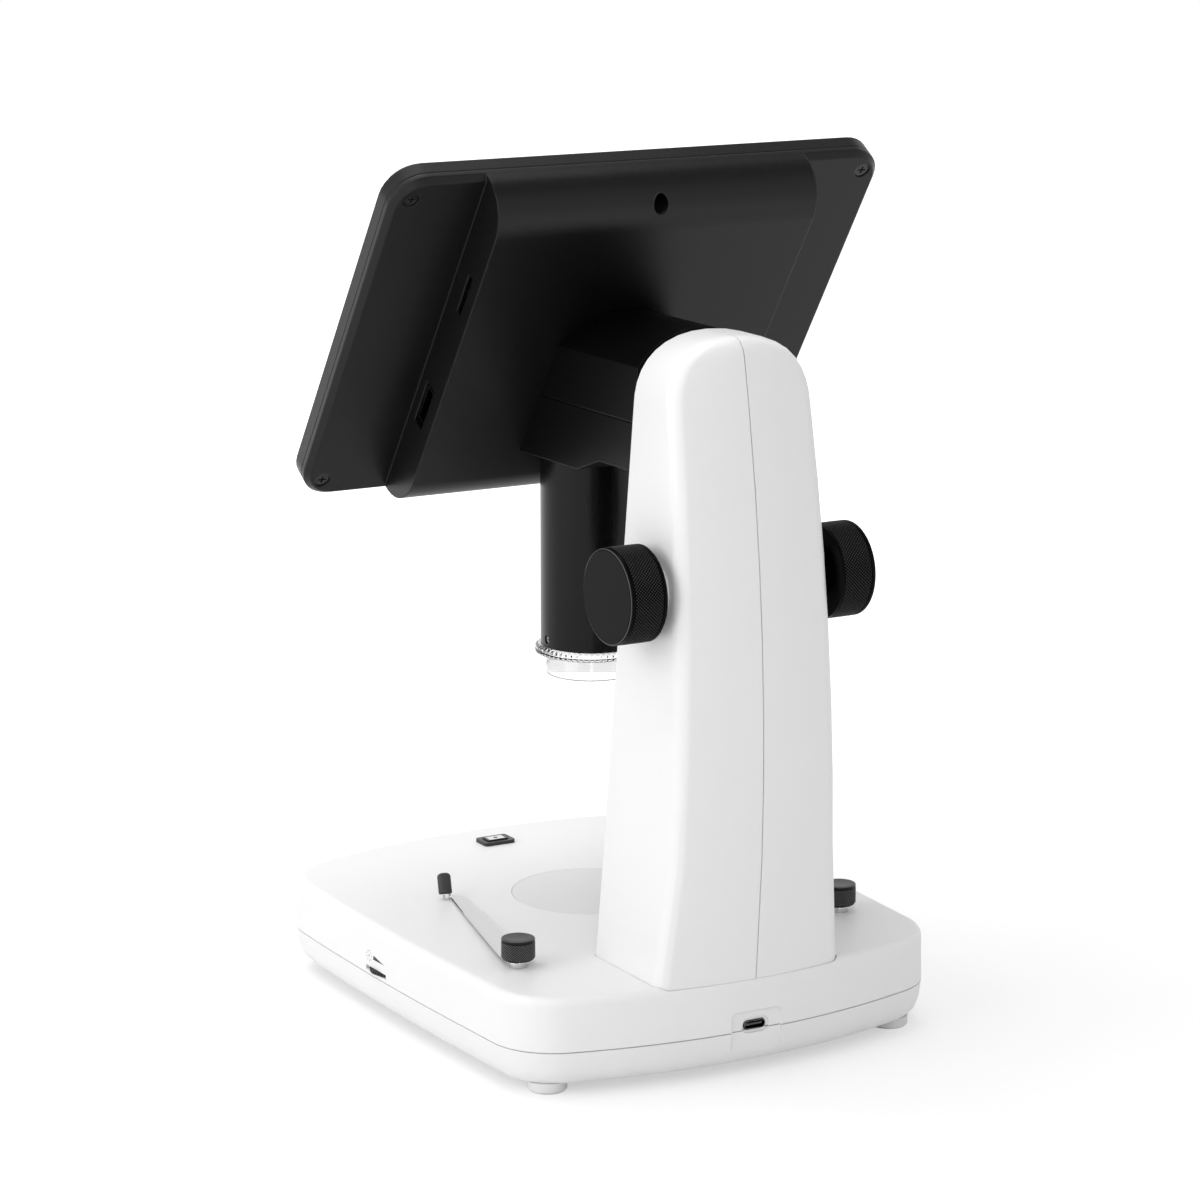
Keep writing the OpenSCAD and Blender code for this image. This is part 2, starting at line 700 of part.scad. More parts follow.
module shaft_bushes() {
    color(brass_c)
    for (side = [-1, 1]) mirror([side < 0 ? 1 : 0, 0, 0]) along_shaft(boss_x - bush_len) difference() {
        union() {
            cylinder(r = bush_r, h = bush_len + seat + bush_flange_t, $fn = 48);
            translate([0, 0, bush_len + seat]) cylinder(r = bush_r + 2.5, h = bush_flange_t, $fn = 48);
        }
        translate([0, 0, -1]) cylinder(r = shaft_r + run_gap, h = 20, $fn = 48);
    }
}

module focus_shaft() {
    color(steel_c)
    along_shaft(-shaft_end_x) cylinder(r = shaft_r, h = 2 * shaft_end_x, $fn = 48);
}

// one straight-sided tooth, pointing along +X from the root circle
module pinion_tooth() {
    root = pitch_r - dedendum;
    polygon([[root - 0.4, -0.85 * gear_m], [pitch_r, -0.6 * gear_m], [pitch_r + addendum, -0.28 * gear_m],
        [pitch_r + addendum, 0.28 * gear_m], [pitch_r, 0.6 * gear_m], [root - 0.4, 0.85 * gear_m]]);
}

module focus_pinion() {
    color(brass_c)
    along_shaft(-gear_w / 2) difference() {
        union() {
            linear_extrude(gear_w) {
                circle(r = pitch_r - dedendum, $fn = 48);
                // a tooth gap faces the rack at rest
                for (i = [0:pinion_teeth - 1]) rotate(90 + (i + 0.5) * 360 / pinion_teeth) pinion_tooth();
            }
            translate([0, 0, gear_w - eps]) cylinder(r = 5.5, h = 5, $fn = 48);
        }
        translate([0, 0, -1]) cylinder(r = shaft_r, h = 20, $fn = 48);
    }
}

module focus_knob(side) {
    color(black_c)
    mirror([side < 0 ? 1 : 0, 0, 0]) along_shaft(knob_in_x) difference() {
        union() {
            rotate_extrude($fn = 96) polygon([[0, 0], [knob_hub_r, 0], [knob_hub_r, 2], [knob_r - 3, 2],
                [knob_r - 3, 0], [knob_r - 1, 0], [knob_r, 1], [knob_r, knob_len - 1.1], [knob_r - 1.1, knob_len],
                [0, knob_len]]);
        }
        translate([0, 0, -1]) cylinder(r = shaft_r, h = knob_len - 3, $fn = 48);
        translate([0, 0, 5]) rotate([0, 90, 0]) cylinder(r = 1.5, h = knob_r + 1, $fn = 24);
    }
}

module knob_set_screws() {
    color(steel_c)
    for (side = [-1, 1]) mirror([side < 0 ? 1 : 0, 0, 0]) along_shaft(knob_in_x + 5) rotate([0, 90, 0])
        translate([0, 0, shaft_r + seat]) cylinder(r = 1.45, h = 6, $fn = 24);
}

rack_z0 = carriage_z0 + 6;
rack_len = carriage_z1 - 1.5 - rack_z0;
rack_back = shaft_y - pitch_r - mesh_gap;     // pitch line of the rack
rack_body_y = rack_back - dedendum - 4.4;
function rack_tooth(z) = let (p = rack_back)
    [[p - dedendum, z - 0.98 * gear_m], [p, z - 0.58 * gear_m], [p + addendum, z - 0.3 * gear_m],
     [p + addendum, z + 0.3 * gear_m], [p, z + 0.58 * gear_m], [p - dedendum, z + 0.98 * gear_m]];
module focus_rack() {
    first = ceil((rack_z0 + 1.2 - shaft_z) / tooth_pitch);
    last = floor((rack_z0 + rack_len - 1.2 - shaft_z) / tooth_pitch);
    color(brass_c)
    translate([-gear_w / 2 - 0.5, 0, 0]) rotate([90, 0, 90]) linear_extrude(gear_w + 1) {
        translate([rack_body_y, rack_z0]) square([rack_back - dedendum - rack_body_y + eps, rack_len]);
        for (i = [first:last]) polygon(rack_tooth(shaft_z + i * tooth_pitch));
    }
}

// ---------- sliding carriage ----------
plate_y0 = rack_body_y - 5;
plate_y1 = rack_body_y - seat;
plate_half_w = slot_half_w - 0.4;
neck_half_w = slot_half_w - 2.8;
lug_h = 13;
bush_wall = 1;
lug_zs = [carriage_z0, carriage_z1 - lug_h];
lug_r = 5.2;
lug_front_y = rod_y - 5.4;
neck_screw_x = 11;
neck_screw_zs = [neck_z0 + 5.5, carriage_z1 - 6.5];
neck_screw_len = 10;
neck_wire_z = (neck_z0 + carriage_z1) / 2;
neck_wire_r = 4;

module at_neck_screws() {
    for (x = [-neck_screw_x, neck_screw_x]) for (z = neck_screw_zs) translate([x, head_back_y(z), z])
        rotate([-90, 0, 0]) children();
}

module neck_wire_way() {
    translate([0, head_back_y(neck_wire_z) - 10, neck_wire_z]) rotate([-90, 0, 0])
        cylinder(r = neck_wire_r, h = 40, $fn = 32);
}

module carriage() {
    color(black_c)
    difference() {
        union() {
            translate([-plate_half_w, plate_y0, carriage_z0])
                cube([2 * plate_half_w, plate_y1 - plate_y0, carriage_z1 - carriage_z0]);
            translate([-neck_half_w, 0, 0]) rotate([90, 0, 90]) linear_extrude(2 * neck_half_w)
                polygon([[head_back_y(neck_z0) + seat, neck_z0], [plate_y0 + 1, neck_z0],
                    [plate_y0 + 1, carriage_z1], [head_back_y(carriage_z1) + seat, carriage_z1]]);
            for (x = [-rod_x, rod_x]) for (z = lug_zs) translate([x, rod_y, z]) {
                cylinder(r = lug_r, h = lug_h, $fn = 48);
                translate([-lug_r, lug_front_y - rod_y, 0]) cube([2 * lug_r, rod_y - lug_front_y, lug_h]);
            }
        }
        for (x = [-rod_x, rod_x]) translate([x, rod_y, carriage_z0 - 1])
            cylinder(r = rod_r + bush_wall, h = carriage_h + 2, $fn = 48);
        at_neck_screws() cylinder(r = screw_r, h = neck_screw_len, $fn = 24);
        neck_wire_way();
    }
}

module carriage_bushes() {
    color(brass_c)
    for (x = [-rod_x, rod_x]) for (z = lug_zs) translate([x, rod_y, z]) difference() {
        cylinder(r = rod_r + bush_wall, h = lug_h, $fn = 48);
        translate([0, 0, -1]) cylinder(r = rod_r + run_gap, h = 20, $fn = 48);
    }
}

// ---------- head ----------
head_gap = 4.6;                          // between the head and the column at the top stop
head_wall = 2.2;
step_y0 = axis_y + 33.4;
step_y1 = axis_y + 49.5;

// slope of the rear end of the head, parallel to the front of the column
front_slope = (front_top_y - front_low_y) / (column_top - front_turn_z);
function head_back_y(z) = front_y(z) - head_gap;

// everything in front of the crown of the screen cover, measured with a gap
module screen_space(gap) {
    on_screen() translate([-tall / 2, -tall / 2, -crown_t - gap]) cube([tall, tall, tall]);
}

module arch_prism(inset) {
    // the arched outline run from front to back
    half = head_half_w - inset;
    rotate([90, 0, 0]) translate([0, 0, -tall / 2]) linear_extrude(tall) intersection() {
        translate([-half, head_bottom - 20]) square([2 * half, head_h + 20]);
        union() {
            translate([0, roof_top - roof_r]) circle(r = roof_r - inset, $fn = 160);
            translate([-half, head_bottom - 20]) square([2 * half, head_h + 20 - roof_r + 5]);
        }
    }
}

// side view of the head, as a plate that is wider than it, cut back by inset
module head_side(inset, z0, z1) {
    rotate([90, 0, 90]) translate([0, 0, -blank_w / 2]) linear_extrude(blank_w) intersection() {
        polygon([[-blank_w, head_bottom + inset], [step_y0 - inset * 0.4, head_bottom + inset],
            [step_y1 - inset * 0.4, step_z + inset], [head_back_y(step_z) - inset, step_z + inset],
            [head_back_y(roof_top) - inset, roof_top], [-blank_w, roof_top]]);
        translate([-tall / 2, z0]) square([tall, z1 - z0]);
    }
}

module head_block(inset, z0, z1) {
    difference() {
        intersection() {
            arch_prism(inset);
            head_side(inset, z0, z1);
        }
        screen_space(seat + inset);
    }
}

cable_s = -8;                            // cable way into the screen, up its slope
cable_r = 6;
cover_screw_x = 17;
cover_screw_ss = [4, -18];
module head_openings() {
    translate([0, axis_y, tube_end]) cylinder(r = tube_r + seat, h = tube_top + 9 - tube_end, $fn = 96);
    on_screen() {
        translate([0, cable_s, -crown_t - 5]) cylinder(r = cable_r, h = 10, $fn = 32);
        for (x = [-cover_screw_x, cover_screw_x]) for (y = cover_screw_ss)
            translate([x, y, -crown_t - 5]) cylinder(r = screw_r, h = 10, $fn = 24);
    }
    // screws and cable of the carriage
    at_neck_screws() translate([0, 0, -head_wall - 1]) cylinder(r = screw_r + 0.2, h = 6, $fn = 24);
    neck_wire_way();
}

head_screw_x = head_half_w - 6;
head_screw_ys = [axis_y + tube_r - 4.8, step_y1 + 6.5];
head_screw_top = head_bottom + 12.6;     // where the screw heads bear
head_screw_len = head_seam + 6.6 - head_screw_top;
module at_head_screws(z) {
    for (x = [-head_screw_x, head_screw_x]) for (y = head_screw_ys) translate([x, y, z]) children();
}

module head_posts(z0, z1) {
    at_head_screws(z0) cylinder(r = 3.2, h = z1 - z0, $fn = 32);
}

module head_upper_housing() {
    color(black_c)
    difference() {
        head_block(0, head_seam + seat, tall);
        difference() {
            head_block(head_wall, head_seam - 5, tall);
            head_posts(head_seam, roof_top - 11);
        }
        head_openings();
        at_head_screws(head_seam - 1) cylinder(r = screw_r, h = 9, $fn = 24);
    }
}

module head_lower_cover() {
    color(black_c)
    difference() {
        head_block(0, 0, head_seam - 0.2);
        difference() {
            head_block(head_wall, 0, head_seam + 5);
            head_posts(head_bottom - 5, head_seam + 10);
        }
        head_openings();
        at_head_screws(head_bottom - 5) {
            cylinder(r = screw_r + 0.2, h = 50, $fn = 24);
            cylinder(r = screw_head_r + 0.2, h = head_screw_top - head_bottom + 5, $fn = 32);
        }
    }
}

tube_screw_z = tube_end + 3;
tube_screw_r = 1.3;
tube_screw_sink = 0.6;
tube_screw_len = 1.2;
module head_screws() {
    color(steel_c) {
        at_head_screws(head_screw_top - screw_head_h - seat) countersunk_screw(head_screw_len + screw_head_h);
        for (side = [-1, 1]) translate([side * (tube_r - tube_screw_sink), axis_y, tube_screw_z])
            rotate([0, -90 * side, 0]) difference() {
                cylinder(r = tube_screw_r, h = tube_screw_len, $fn = 32);
                translate([0, 0, -1]) cylinder(r = tube_screw_r / 2, h = 1.6, $fn = 6);
            }
        at_neck_screws() translate([0, 0, -head_wall - screw_head_h - 0.35]) countersunk_screw(neck_screw_len);
        on_screen() for (x = [-cover_screw_x, cover_screw_x]) for (y = cover_screw_ss)
            translate([x, y, -crown_t + shell_t + screw_head_h + seat]) rotate([180, 0, 0]) countersunk_screw(8);
    }
}

tube_wall = 2.2;
tube_top = head_bottom + 8.6;
tube_flange = 1.1;
module tube_barrel() {
    color(black_c)
    difference() {
        union() {
            translate([0, axis_y, tube_end]) cylinder(r = tube_r, h = tube_top - tube_end, $fn = 128);
            // collar that rests on the floor of the head
            translate([0, axis_y, head_bottom + head_wall + seat])
                cylinder(r = tube_r + tube_flange, h = 2.5, $fn = 96);
        }
        translate([0, axis_y, tube_end - 1]) cylinder(r = tube_r - tube_wall, h = 100, $fn = 96);
        screen_space(0.3);
        difference() {
            screen_space(head_wall + 0.3);
            translate([0, axis_y, tube_end - 1]) cylinder(r = tube_r, h = 100, $fn = 128);
        }
        for (side = [-1, 1]) translate([side * (tube_r - 1), axis_y, tube_screw_z]) rotate([0, 90 * side, 0]) {
            cylinder(r = tube_screw_r + 0.2, h = 5, $fn = 32);
            translate([0, 0, -3]) cylinder(r = tube_screw_r + seat, h = 5, $fn = 32);
        }
    }
}

lens_r = 9;
lens_wall = 1.6;
lens_z0 = tube_end + 12.1;
lens_len = 42;
lens_ring_zs = [lens_z0 + 4, lens_z0 + lens_len - 8];
glass_zs = [lens_z0 + 2, lens_z0 + 14, lens_z0 + 30];
glass_curve = 19;
inner_r = tube_r - tube_wall - seat;     // what fits inside the tube
module lens_barrel() {
    color([0.16, 0.16, 0.17])
    translate([0, axis_y, 0]) difference() {
        union() {
            translate([0, 0, lens_z0]) cylinder(r = lens_r + lens_wall, h = lens_len, $fn = 64);
            for (z = lens_ring_zs) translate([0, 0, z]) cylinder(r = inner_r, h = 3, $fn = 96);
        }
        translate([0, 0, lens_z0 - 1]) cylinder(r = lens_r, h = lens_len + 2, $fn = 64);
    }
}

module lens_elements() {
    color(clear_c)
    for (z = glass_zs) translate([0, axis_y, z]) difference() {
        cylinder(r = lens_r - seat, h = 4, $fn = 64);
        translate([0, 0, glass_curve + 3.2]) sphere(r = glass_curve, $fn = 64);
    }
}

sensor_z = lens_z0 + lens_len + seat;
module sensor_board() {
    color(board_c) translate([0, axis_y, sensor_z]) cylinder(r = inner_r, h = board_t, $fn = 64);
    color(black_c) translate([-4, axis_y - 4, sensor_z - 1.5]) cube([8, 8, 1.5 + eps]);
}

ring_light_z = tube_end + 7.1;
module ring_light_board() {
    color(board_c) translate([0, axis_y, ring_light_z]) difference() {
        cylinder(r = inner_r, h = board_t, $fn = 64);
        translate([0, 0, -1]) cylinder(r = lens_r + 0.5, h = 5, $fn = 48);
    }
    color([0.95, 0.9, 0.6]) for (a = [0:45:359]) translate([0, axis_y, ring_light_z - 0.8]) rotate(a)
        translate([12.8, 0, 0.4]) cube([3, 2.6, 0.8], center = true);
}

hood_ring_r = tube_r + 2.1;
hood_ring_z0 = tube_end - 3.5;
hood_skirt_r = tube_r - 2;
hood_end = tube_end - 11.3;
module clear_hood() {
    color(clear_c)
    translate([0, axis_y, 0]) difference() {
        union() {
            translate([0, 0, hood_end]) cylinder(r = hood_skirt_r, h = hood_ring_z0 - hood_end + 1, $fn = 96);
            translate([0, 0, hood_ring_z0]) cylinder(r = hood_ring_r - 0.5, h = tube_end - hood_ring_z0 - slip, $fn = 96);
            for (a = [0:6:359]) rotate(a) translate([hood_ring_r - 1, -0.55, hood_ring_z0 + 0.2])
                cube([1, 1.1, tube_end - hood_ring_z0 - slip - 0.4]);
            translate([0, 0, tube_end - 1]) cylinder(r = tube_r - tube_wall - run_gap, h = 6, $fn = 96);
        }
        translate([0, 0, hood_end - 1]) cylinder(r = hood_skirt_r - 1.6, h = 30, $fn = 96);
    }
}

// ---------- screen: drawn flat, its back plate at z = 0 and the user on the +z side ----------
screen_y = axis_y + 1.4;
screen_z = roof_top - 9.6;
cover_depth = 4;                         // rim of the back cover in front of its plate
case_corner_r = 13;
crown_round = 16;
crown_low_gap = 2.3;                     // the crown stops this far short of the lower edge
rim_round = 2;
slice_t = 0.1;                           // slices that the case is joined from
shell_t = 2.2;
plate_screw_x = case_half_w - 7.7;
plate_screw_y = case_half_h - 8.5;
plate_screw_z = 0.5;                     // how deep the screw heads lie
well_y = case_half_h - 6.5;
well_r = screw_head_r + 0.2;
lcd_shift = 8;                           // picture area above the middle of the case
key_y = 20.5 - case_half_h;
key_pitch = 26;
key_xs = [for (i = [-2:2]) key_pitch * i];
key_half_w = 7;
key_half_h = 3.6;
key_travel = 0.8;
key_flange_t = 1.2;
card_y = 29;
video_y = -26;
board_z = -crown_t + 4.65;               // outer face of the main board
card_z = board_z + board_t + 0.95;
video_z = board_z + board_t + 2.8;
board_half_w = crown_half_w - 5.5;
board_half_h = 46;
board_post_x = board_half_w - 10;
board_post_y = board_half_h - 8;

module on_screen() {
    translate([0, screen_y, screen_z]) rotate([90 - screen_lean, 0, 0]) children();
}

// rounded rectangle as a ring of points, so that slices of it join cleanly
function case_outline(inset) = let (r = case_corner_r - inset,
        cx = case_half_w - case_corner_r, cy = case_half_h - case_corner_r)
    [for (k = [0:3]) for (i = [0:8]) let (a = 90 * k + 90 * i / 8)
        [(k == 0 || k == 3 ? cx : -cx) + r * cos(a), (k < 2 ? cy : -cy) + r * sin(a)]];

module case_slice(z, inset) {
    translate([0, 0, z]) linear_extrude(slice_t) polygon(case_outline(inset));
}

// profile of the thick middle, run across the cover; it ends just inside the rim's own faces
module crown_prism(inset, z1) {
    r = crown_round - inset;
    half = crown_half_w - inset;
    top = case_half_h - crown_round;
    low = top - crown_low_gap;
    translate([-half, 0, 0]) rotate([90, 0, 90]) linear_extrude(2 * half) {
        translate([-low, -crown_t + inset]) square([low + top, crown_t - inset + z1]);
        translate([-low - r, -crown_t + crown_round]) square([low + top + 2 * r, crown_t - crown_round + z1]);
        intersection() {
            for (s = [-low, top]) translate([s, -crown_t + crown_round]) circle(r = r, $fn = 96);
            translate([-tall / 2, -tall]) square([tall, tall - crown_t + crown_round + 1]);
        }
    }
}

module cover_block() {
    hull() {
        case_slice(cover_depth - 0.1 - slice_t, 0);
        case_slice(rim_round, 0);
        case_slice(0, rim_round);
    }
    crown_prism(2 * eps, cover_depth - 0.3);
}

module case_block(inset, z0, z1) {
    r = case_corner_r - inset;
    translate([0, 0, z0]) rounded_plate(case_half_w - inset, case_half_h - inset, r, z1 - z0);
}

module at_plate_screws() {
    for (x = [-plate_screw_x, plate_screw_x]) for (y = [-plate_screw_y, plate_screw_y])
        translate([x, y, 0]) children();
}

module screen_back_cover() {
    color(black_c)
    on_screen() difference() {
        cover_block();
        difference() {
            union() {
                case_block(shell_t, shell_t, cover_depth + 2);
                crown_prism(shell_t, cover_depth + 1);
            }
            at_plate_screws() cylinder(r = 3.6, h = 3.9, $fn = 32);
            translate([0, well_y - 1, -crown_t]) cylinder(r = 5.2, h = crown_t + cover_depth - 0.1, $fn = 48);
            // posts for the main board
            for (x = [-board_post_x, board_post_x]) for (y = [-board_post_y, board_post_y])
                translate([x, y, -crown_t + 1]) cylinder(r = 3, h = crown_t - 1 + board_z - seat, $fn = 32);
        }
        at_plate_screws() {
            translate([0, 0, -1]) cylinder(r = screw_head_r + 0.2, h = 1 + plate_screw_z + 1.8, $fn = 32);
            translate([0, 0, -1]) cylinder(r = screw_r + 0.2, h = 10, $fn = 24);
        }
        translate([0, well_y, -crown_t]) cylinder(r = well_r, h = crown_t + 2, $fn = 48);
        translate([0, well_y, -crown_t]) cylinder(r = screw_r + 0.2, h = crown_t + 10, $fn = 24);
        // card slot and video socket window in the side of the crown
        translate([crown_half_w - 10, card_y - 8.5, card_z - 1.4]) cube([20, 17, 2.8]);
        translate([crown_half_w - 10, video_y - 9.5, video_z - 3.1]) cube([20, 19, 6.2]);
        // cable way and screw holes into the head
        translate([0, cable_s, -crown_t - 1]) cylinder(r = cable_r, h = 6, $fn = 48);
        for (x = [-cover_screw_x, cover_screw_x]) for (y = cover_screw_ss)
            translate([x, y, -crown_t - 1]) cylinder(r = screw_r + 0.2, h = 6, $fn = 24);
    }
}

glass_t = 1.1;
glass_half_w = lcd_w / 2 + 6.95;
glass_half_h = lcd_h / 2 + 6.05;
lcd_t = 4.4;
lcd_rim = 5;
module screen_bezel() {
    color(black_c)
    on_screen() difference() {
        hull() {
            case_slice(cover_depth + 0.1, 0);
            case_slice(case_t - rim_round - slice_t, 0);
            case_slice(case_t - slice_t, rim_round);
        }
        difference() {
            case_block(shell_t, -1, case_t - shell_t);
            at_plate_screws() cylinder(r = 3.6, h = tall, $fn = 32);
            translate([0, well_y - 1, 0]) cylinder(r = 4.5, h = tall, $fn = 48);
        }
        // window of the glass and the smaller one of the picture
        translate([0, lcd_shift, case_t - glass_t]) rounded_plate(glass_half_w + 0.1, glass_half_h + 0.1, 3, 10);
        translate([0, lcd_shift, 0]) rounded_plate(lcd_w / 2 + 1, lcd_h / 2 + 1, 1, 20);
        for (x = key_xs) translate([x, key_y, 0]) rounded_plate(key_half_w + slip, key_half_h + slip, 2, 20);
        at_plate_screws() cylinder(r = screw_r, h = case_t - 2, $fn = 24);
        translate([0, well_y, 0]) cylinder(r = screw_r, h = case_t - 2, $fn = 24);
    }
}

module screen_glass() {
    color([0.05, 0.05, 0.06, 0.8])
    on_screen() translate([0, lcd_shift, case_t - glass_t + seat])
        rounded_plate(glass_half_w, glass_half_h, 3, glass_t - seat - 0.1);
}

module lcd_panel() {
    color([0.2, 0.2, 0.24])
    on_screen() translate([-lcd_w / 2 - lcd_rim, lcd_shift - lcd_h / 2 - lcd_rim, case_t - shell_t - lcd_t])
        cube([lcd_w + 2 * lcd_rim, lcd_h + 2 * lcd_rim, lcd_t - seat]);
}

module main_board() {
    color(board_c)
    on_screen() translate([0, 0, board_z]) {
        translate([-board_half_w, -board_half_h, 0]) cube([2 * board_half_w, 2 * board_half_h, board_t]);
        for (p = [[-20, 10, 14], [14, -6, 10], [-34, -24, 8]]) translate([p[0], p[1], board_t - eps])
            cube([p[2], p[2], 1.2]);
        translate([-40, 30, board_t - eps]) cube([22, 6, 2.4]);
    }
}

module key_board() {
    color(board_c)
    on_screen() {
        translate([-2 * key_pitch - 14, key_y - 5, case_t - shell_t - 4.6 - board_t])
            cube([4 * key_pitch + 28, 10, board_t]);
        for (x = key_xs) translate([x, key_y, case_t - shell_t - 4.6 - eps])
            cylinder(r = 2.4, h = 4.6 - key_flange_t - key_travel - 0.3, $fn = 32);
    }
}

module card_socket() {
    color(steel_c)
    on_screen() translate([crown_half_w - shell_t - 15.5, card_y - 7.5, card_z - 0.9 + seat]) difference() {
        cube([15, 15, 1.8]);
        translate([6, 1.2, 0.4]) cube([10, 12.6, 1]);
    }
}

module video_socket() {
    color(steel_c)
    on_screen() translate([crown_half_w - 1 - 11, video_y, video_z + seat]) rotate([90, 0, 90]) difference() {
        translate([-7.5, -2.75, 0]) cube([15, 5.5, 11]);
        translate([-7, -2.25, 3]) cube([14, 4.5, 10]);
    }
}

module screen_screws() {
    color([0.15, 0.15, 0.16])
    on_screen() {
        at_plate_screws() translate([0, 0, plate_screw_z - seat]) difference() {
            countersunk_screw(8.5);
            cross_recess();
        }
        translate([0, well_y, 0.2 - seat]) difference() {
            countersunk_screw(9);
            cross_recess();
        }
    }
}

module cross_recess() {
    for (a = [0, 90]) rotate(a) translate([-1.5, -0.3, -1]) cube([3, 0.6, 1.8]);
}

module front_key(i) {
    color(black_c)
    on_screen() translate([key_xs[i], key_y, case_t - shell_t - key_flange_t - seat]) {
        rounded_plate(key_half_w, key_half_h, 1.8, key_flange_t + shell_t + 1);
        rounded_plate(key_half_w + 1.2, key_half_h + 1.2, 1.8, key_flange_t);
    }
}

base_upper_shell();
base_lower_shell();
base_feet();
base_screws();
ballast_plate();
stage_disc();
stage_light_board();
power_board();
usb_c_socket();
dimmer_body();
dimmer_wheel();
light_switch_frame();
light_switch_button();
clip_stud(1);  // clip_stud_left
clip_stud(-1);  // clip_stud_right
clip_spring(1);  // clip_spring_left
clip_spring(-1);  // clip_spring_right
clip_sleeve(1);  // clip_sleeve_left
clip_sleeve(-1);  // clip_sleeve_right
clip_screw(1);  // clip_screw_left
clip_screw(-1);  // clip_screw_right
column_shell(1);  // column_left_shell
column_shell(-1);  // column_right_shell
column_screws();
column_bracket();
guide_rods();
rod_block_upper();
rod_block_lower();
shaft_bushes();
focus_shaft();
focus_pinion();
focus_knob(1);  // focus_knob_left
focus_knob(-1);  // focus_knob_right
knob_set_screws();
focus_rack();
carriage();
carriage_bushes();
head_upper_housing();
head_lower_cover();
head_screws();
tube_barrel();
lens_barrel();
lens_elements();
sensor_board();
ring_light_board();
clear_hood();
screen_back_cover();
screen_bezel();
lcd_panel();
screen_glass();
main_board();
key_board();
card_socket();
video_socket();
screen_screws();
front_key(0);  // menu_key
front_key(1);  // left_key
front_key(2);  // ok_key
front_key(3);  // right_key
front_key(4);  // power_key
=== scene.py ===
import bpy
import bmesh
import math
from mathutils import Matrix, Vector
from mathutils.bvhtree import BVHTree


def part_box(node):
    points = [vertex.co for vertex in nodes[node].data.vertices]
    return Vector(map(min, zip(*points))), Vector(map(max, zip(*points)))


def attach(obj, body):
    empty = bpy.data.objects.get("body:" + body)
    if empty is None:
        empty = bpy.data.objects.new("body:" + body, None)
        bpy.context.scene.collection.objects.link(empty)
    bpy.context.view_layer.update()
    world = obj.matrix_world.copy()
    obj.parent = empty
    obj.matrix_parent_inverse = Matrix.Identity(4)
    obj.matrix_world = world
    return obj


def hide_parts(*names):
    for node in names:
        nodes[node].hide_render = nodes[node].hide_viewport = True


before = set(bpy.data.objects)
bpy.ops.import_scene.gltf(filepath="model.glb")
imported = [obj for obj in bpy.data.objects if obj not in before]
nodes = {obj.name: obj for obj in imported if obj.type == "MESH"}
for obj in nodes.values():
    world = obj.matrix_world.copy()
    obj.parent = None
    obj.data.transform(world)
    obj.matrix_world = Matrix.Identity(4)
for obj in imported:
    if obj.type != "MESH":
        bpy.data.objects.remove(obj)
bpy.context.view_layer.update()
mm = 0.001


def grey(value):
    return (value, value, value, 1)


def smoothStep(t):
    return t * t * (3 - 2 * t)


# shader node groups, each made once and placed in several materials

def newGroup(name, inputs, outputs):
    tree = bpy.data.node_groups.new(name, "ShaderNodeTree")
    for label, kind, value in inputs:
        tree.interface.new_socket(label, in_out="INPUT", socket_type=kind).default_value = value
    for label, kind in outputs:
        tree.interface.new_socket(label, in_out="OUTPUT", socket_type=kind)
    return tree, tree.nodes.new("NodeGroupInput"), tree.nodes.new("NodeGroupOutput")


def addNode(tree, kind, links=(), **values):
    # links are (input name or number, socket or value) pairs; values are attributes of the node
    made = tree.nodes.new(kind)
    for key, value in values.items():
        setattr(made, key, value)
    for name, source in links:
        if isinstance(source, bpy.types.NodeSocket):
            tree.links.new(source, made.inputs[name])
        else:
            made.inputs[name].default_value = source
    return made


def mathNode(tree, operation, a, b, clamp=False):
    return addNode(tree, "ShaderNodeMath", [(0, a), (1, b)], operation=operation,
                   use_clamp=clamp).outputs[0]


def mapRange(tree, value, low, high, toLow=0.0, toHigh=1.0):
    made = addNode(tree, "ShaderNodeMapRange", [("Value", value), ("From Min", low), ("From Max", high),
                                                ("To Min", toLow), ("To Max", toHigh)])
    return made.outputs["Result"]


def objectPlace(tree):
    return tree.nodes.new("ShaderNodeTexCoord").outputs["Object"]


def noise(tree, where, scale, detail, roughness=0.5):
    made = addNode(tree, "ShaderNodeTexNoise", [("Vector", where), ("Scale", scale), ("Detail", detail),
                                                ("Roughness", roughness)])
    return made.outputs[0]


skinNoise = {"grainDetail": 2.0, "grainRough": 0.6, "slowScale": 28.0, "slowDetail": 3.0, "slowShare": 0.7,
             "midScale": 240.0, "midDetail": 2.0, "midShare": 0.3}


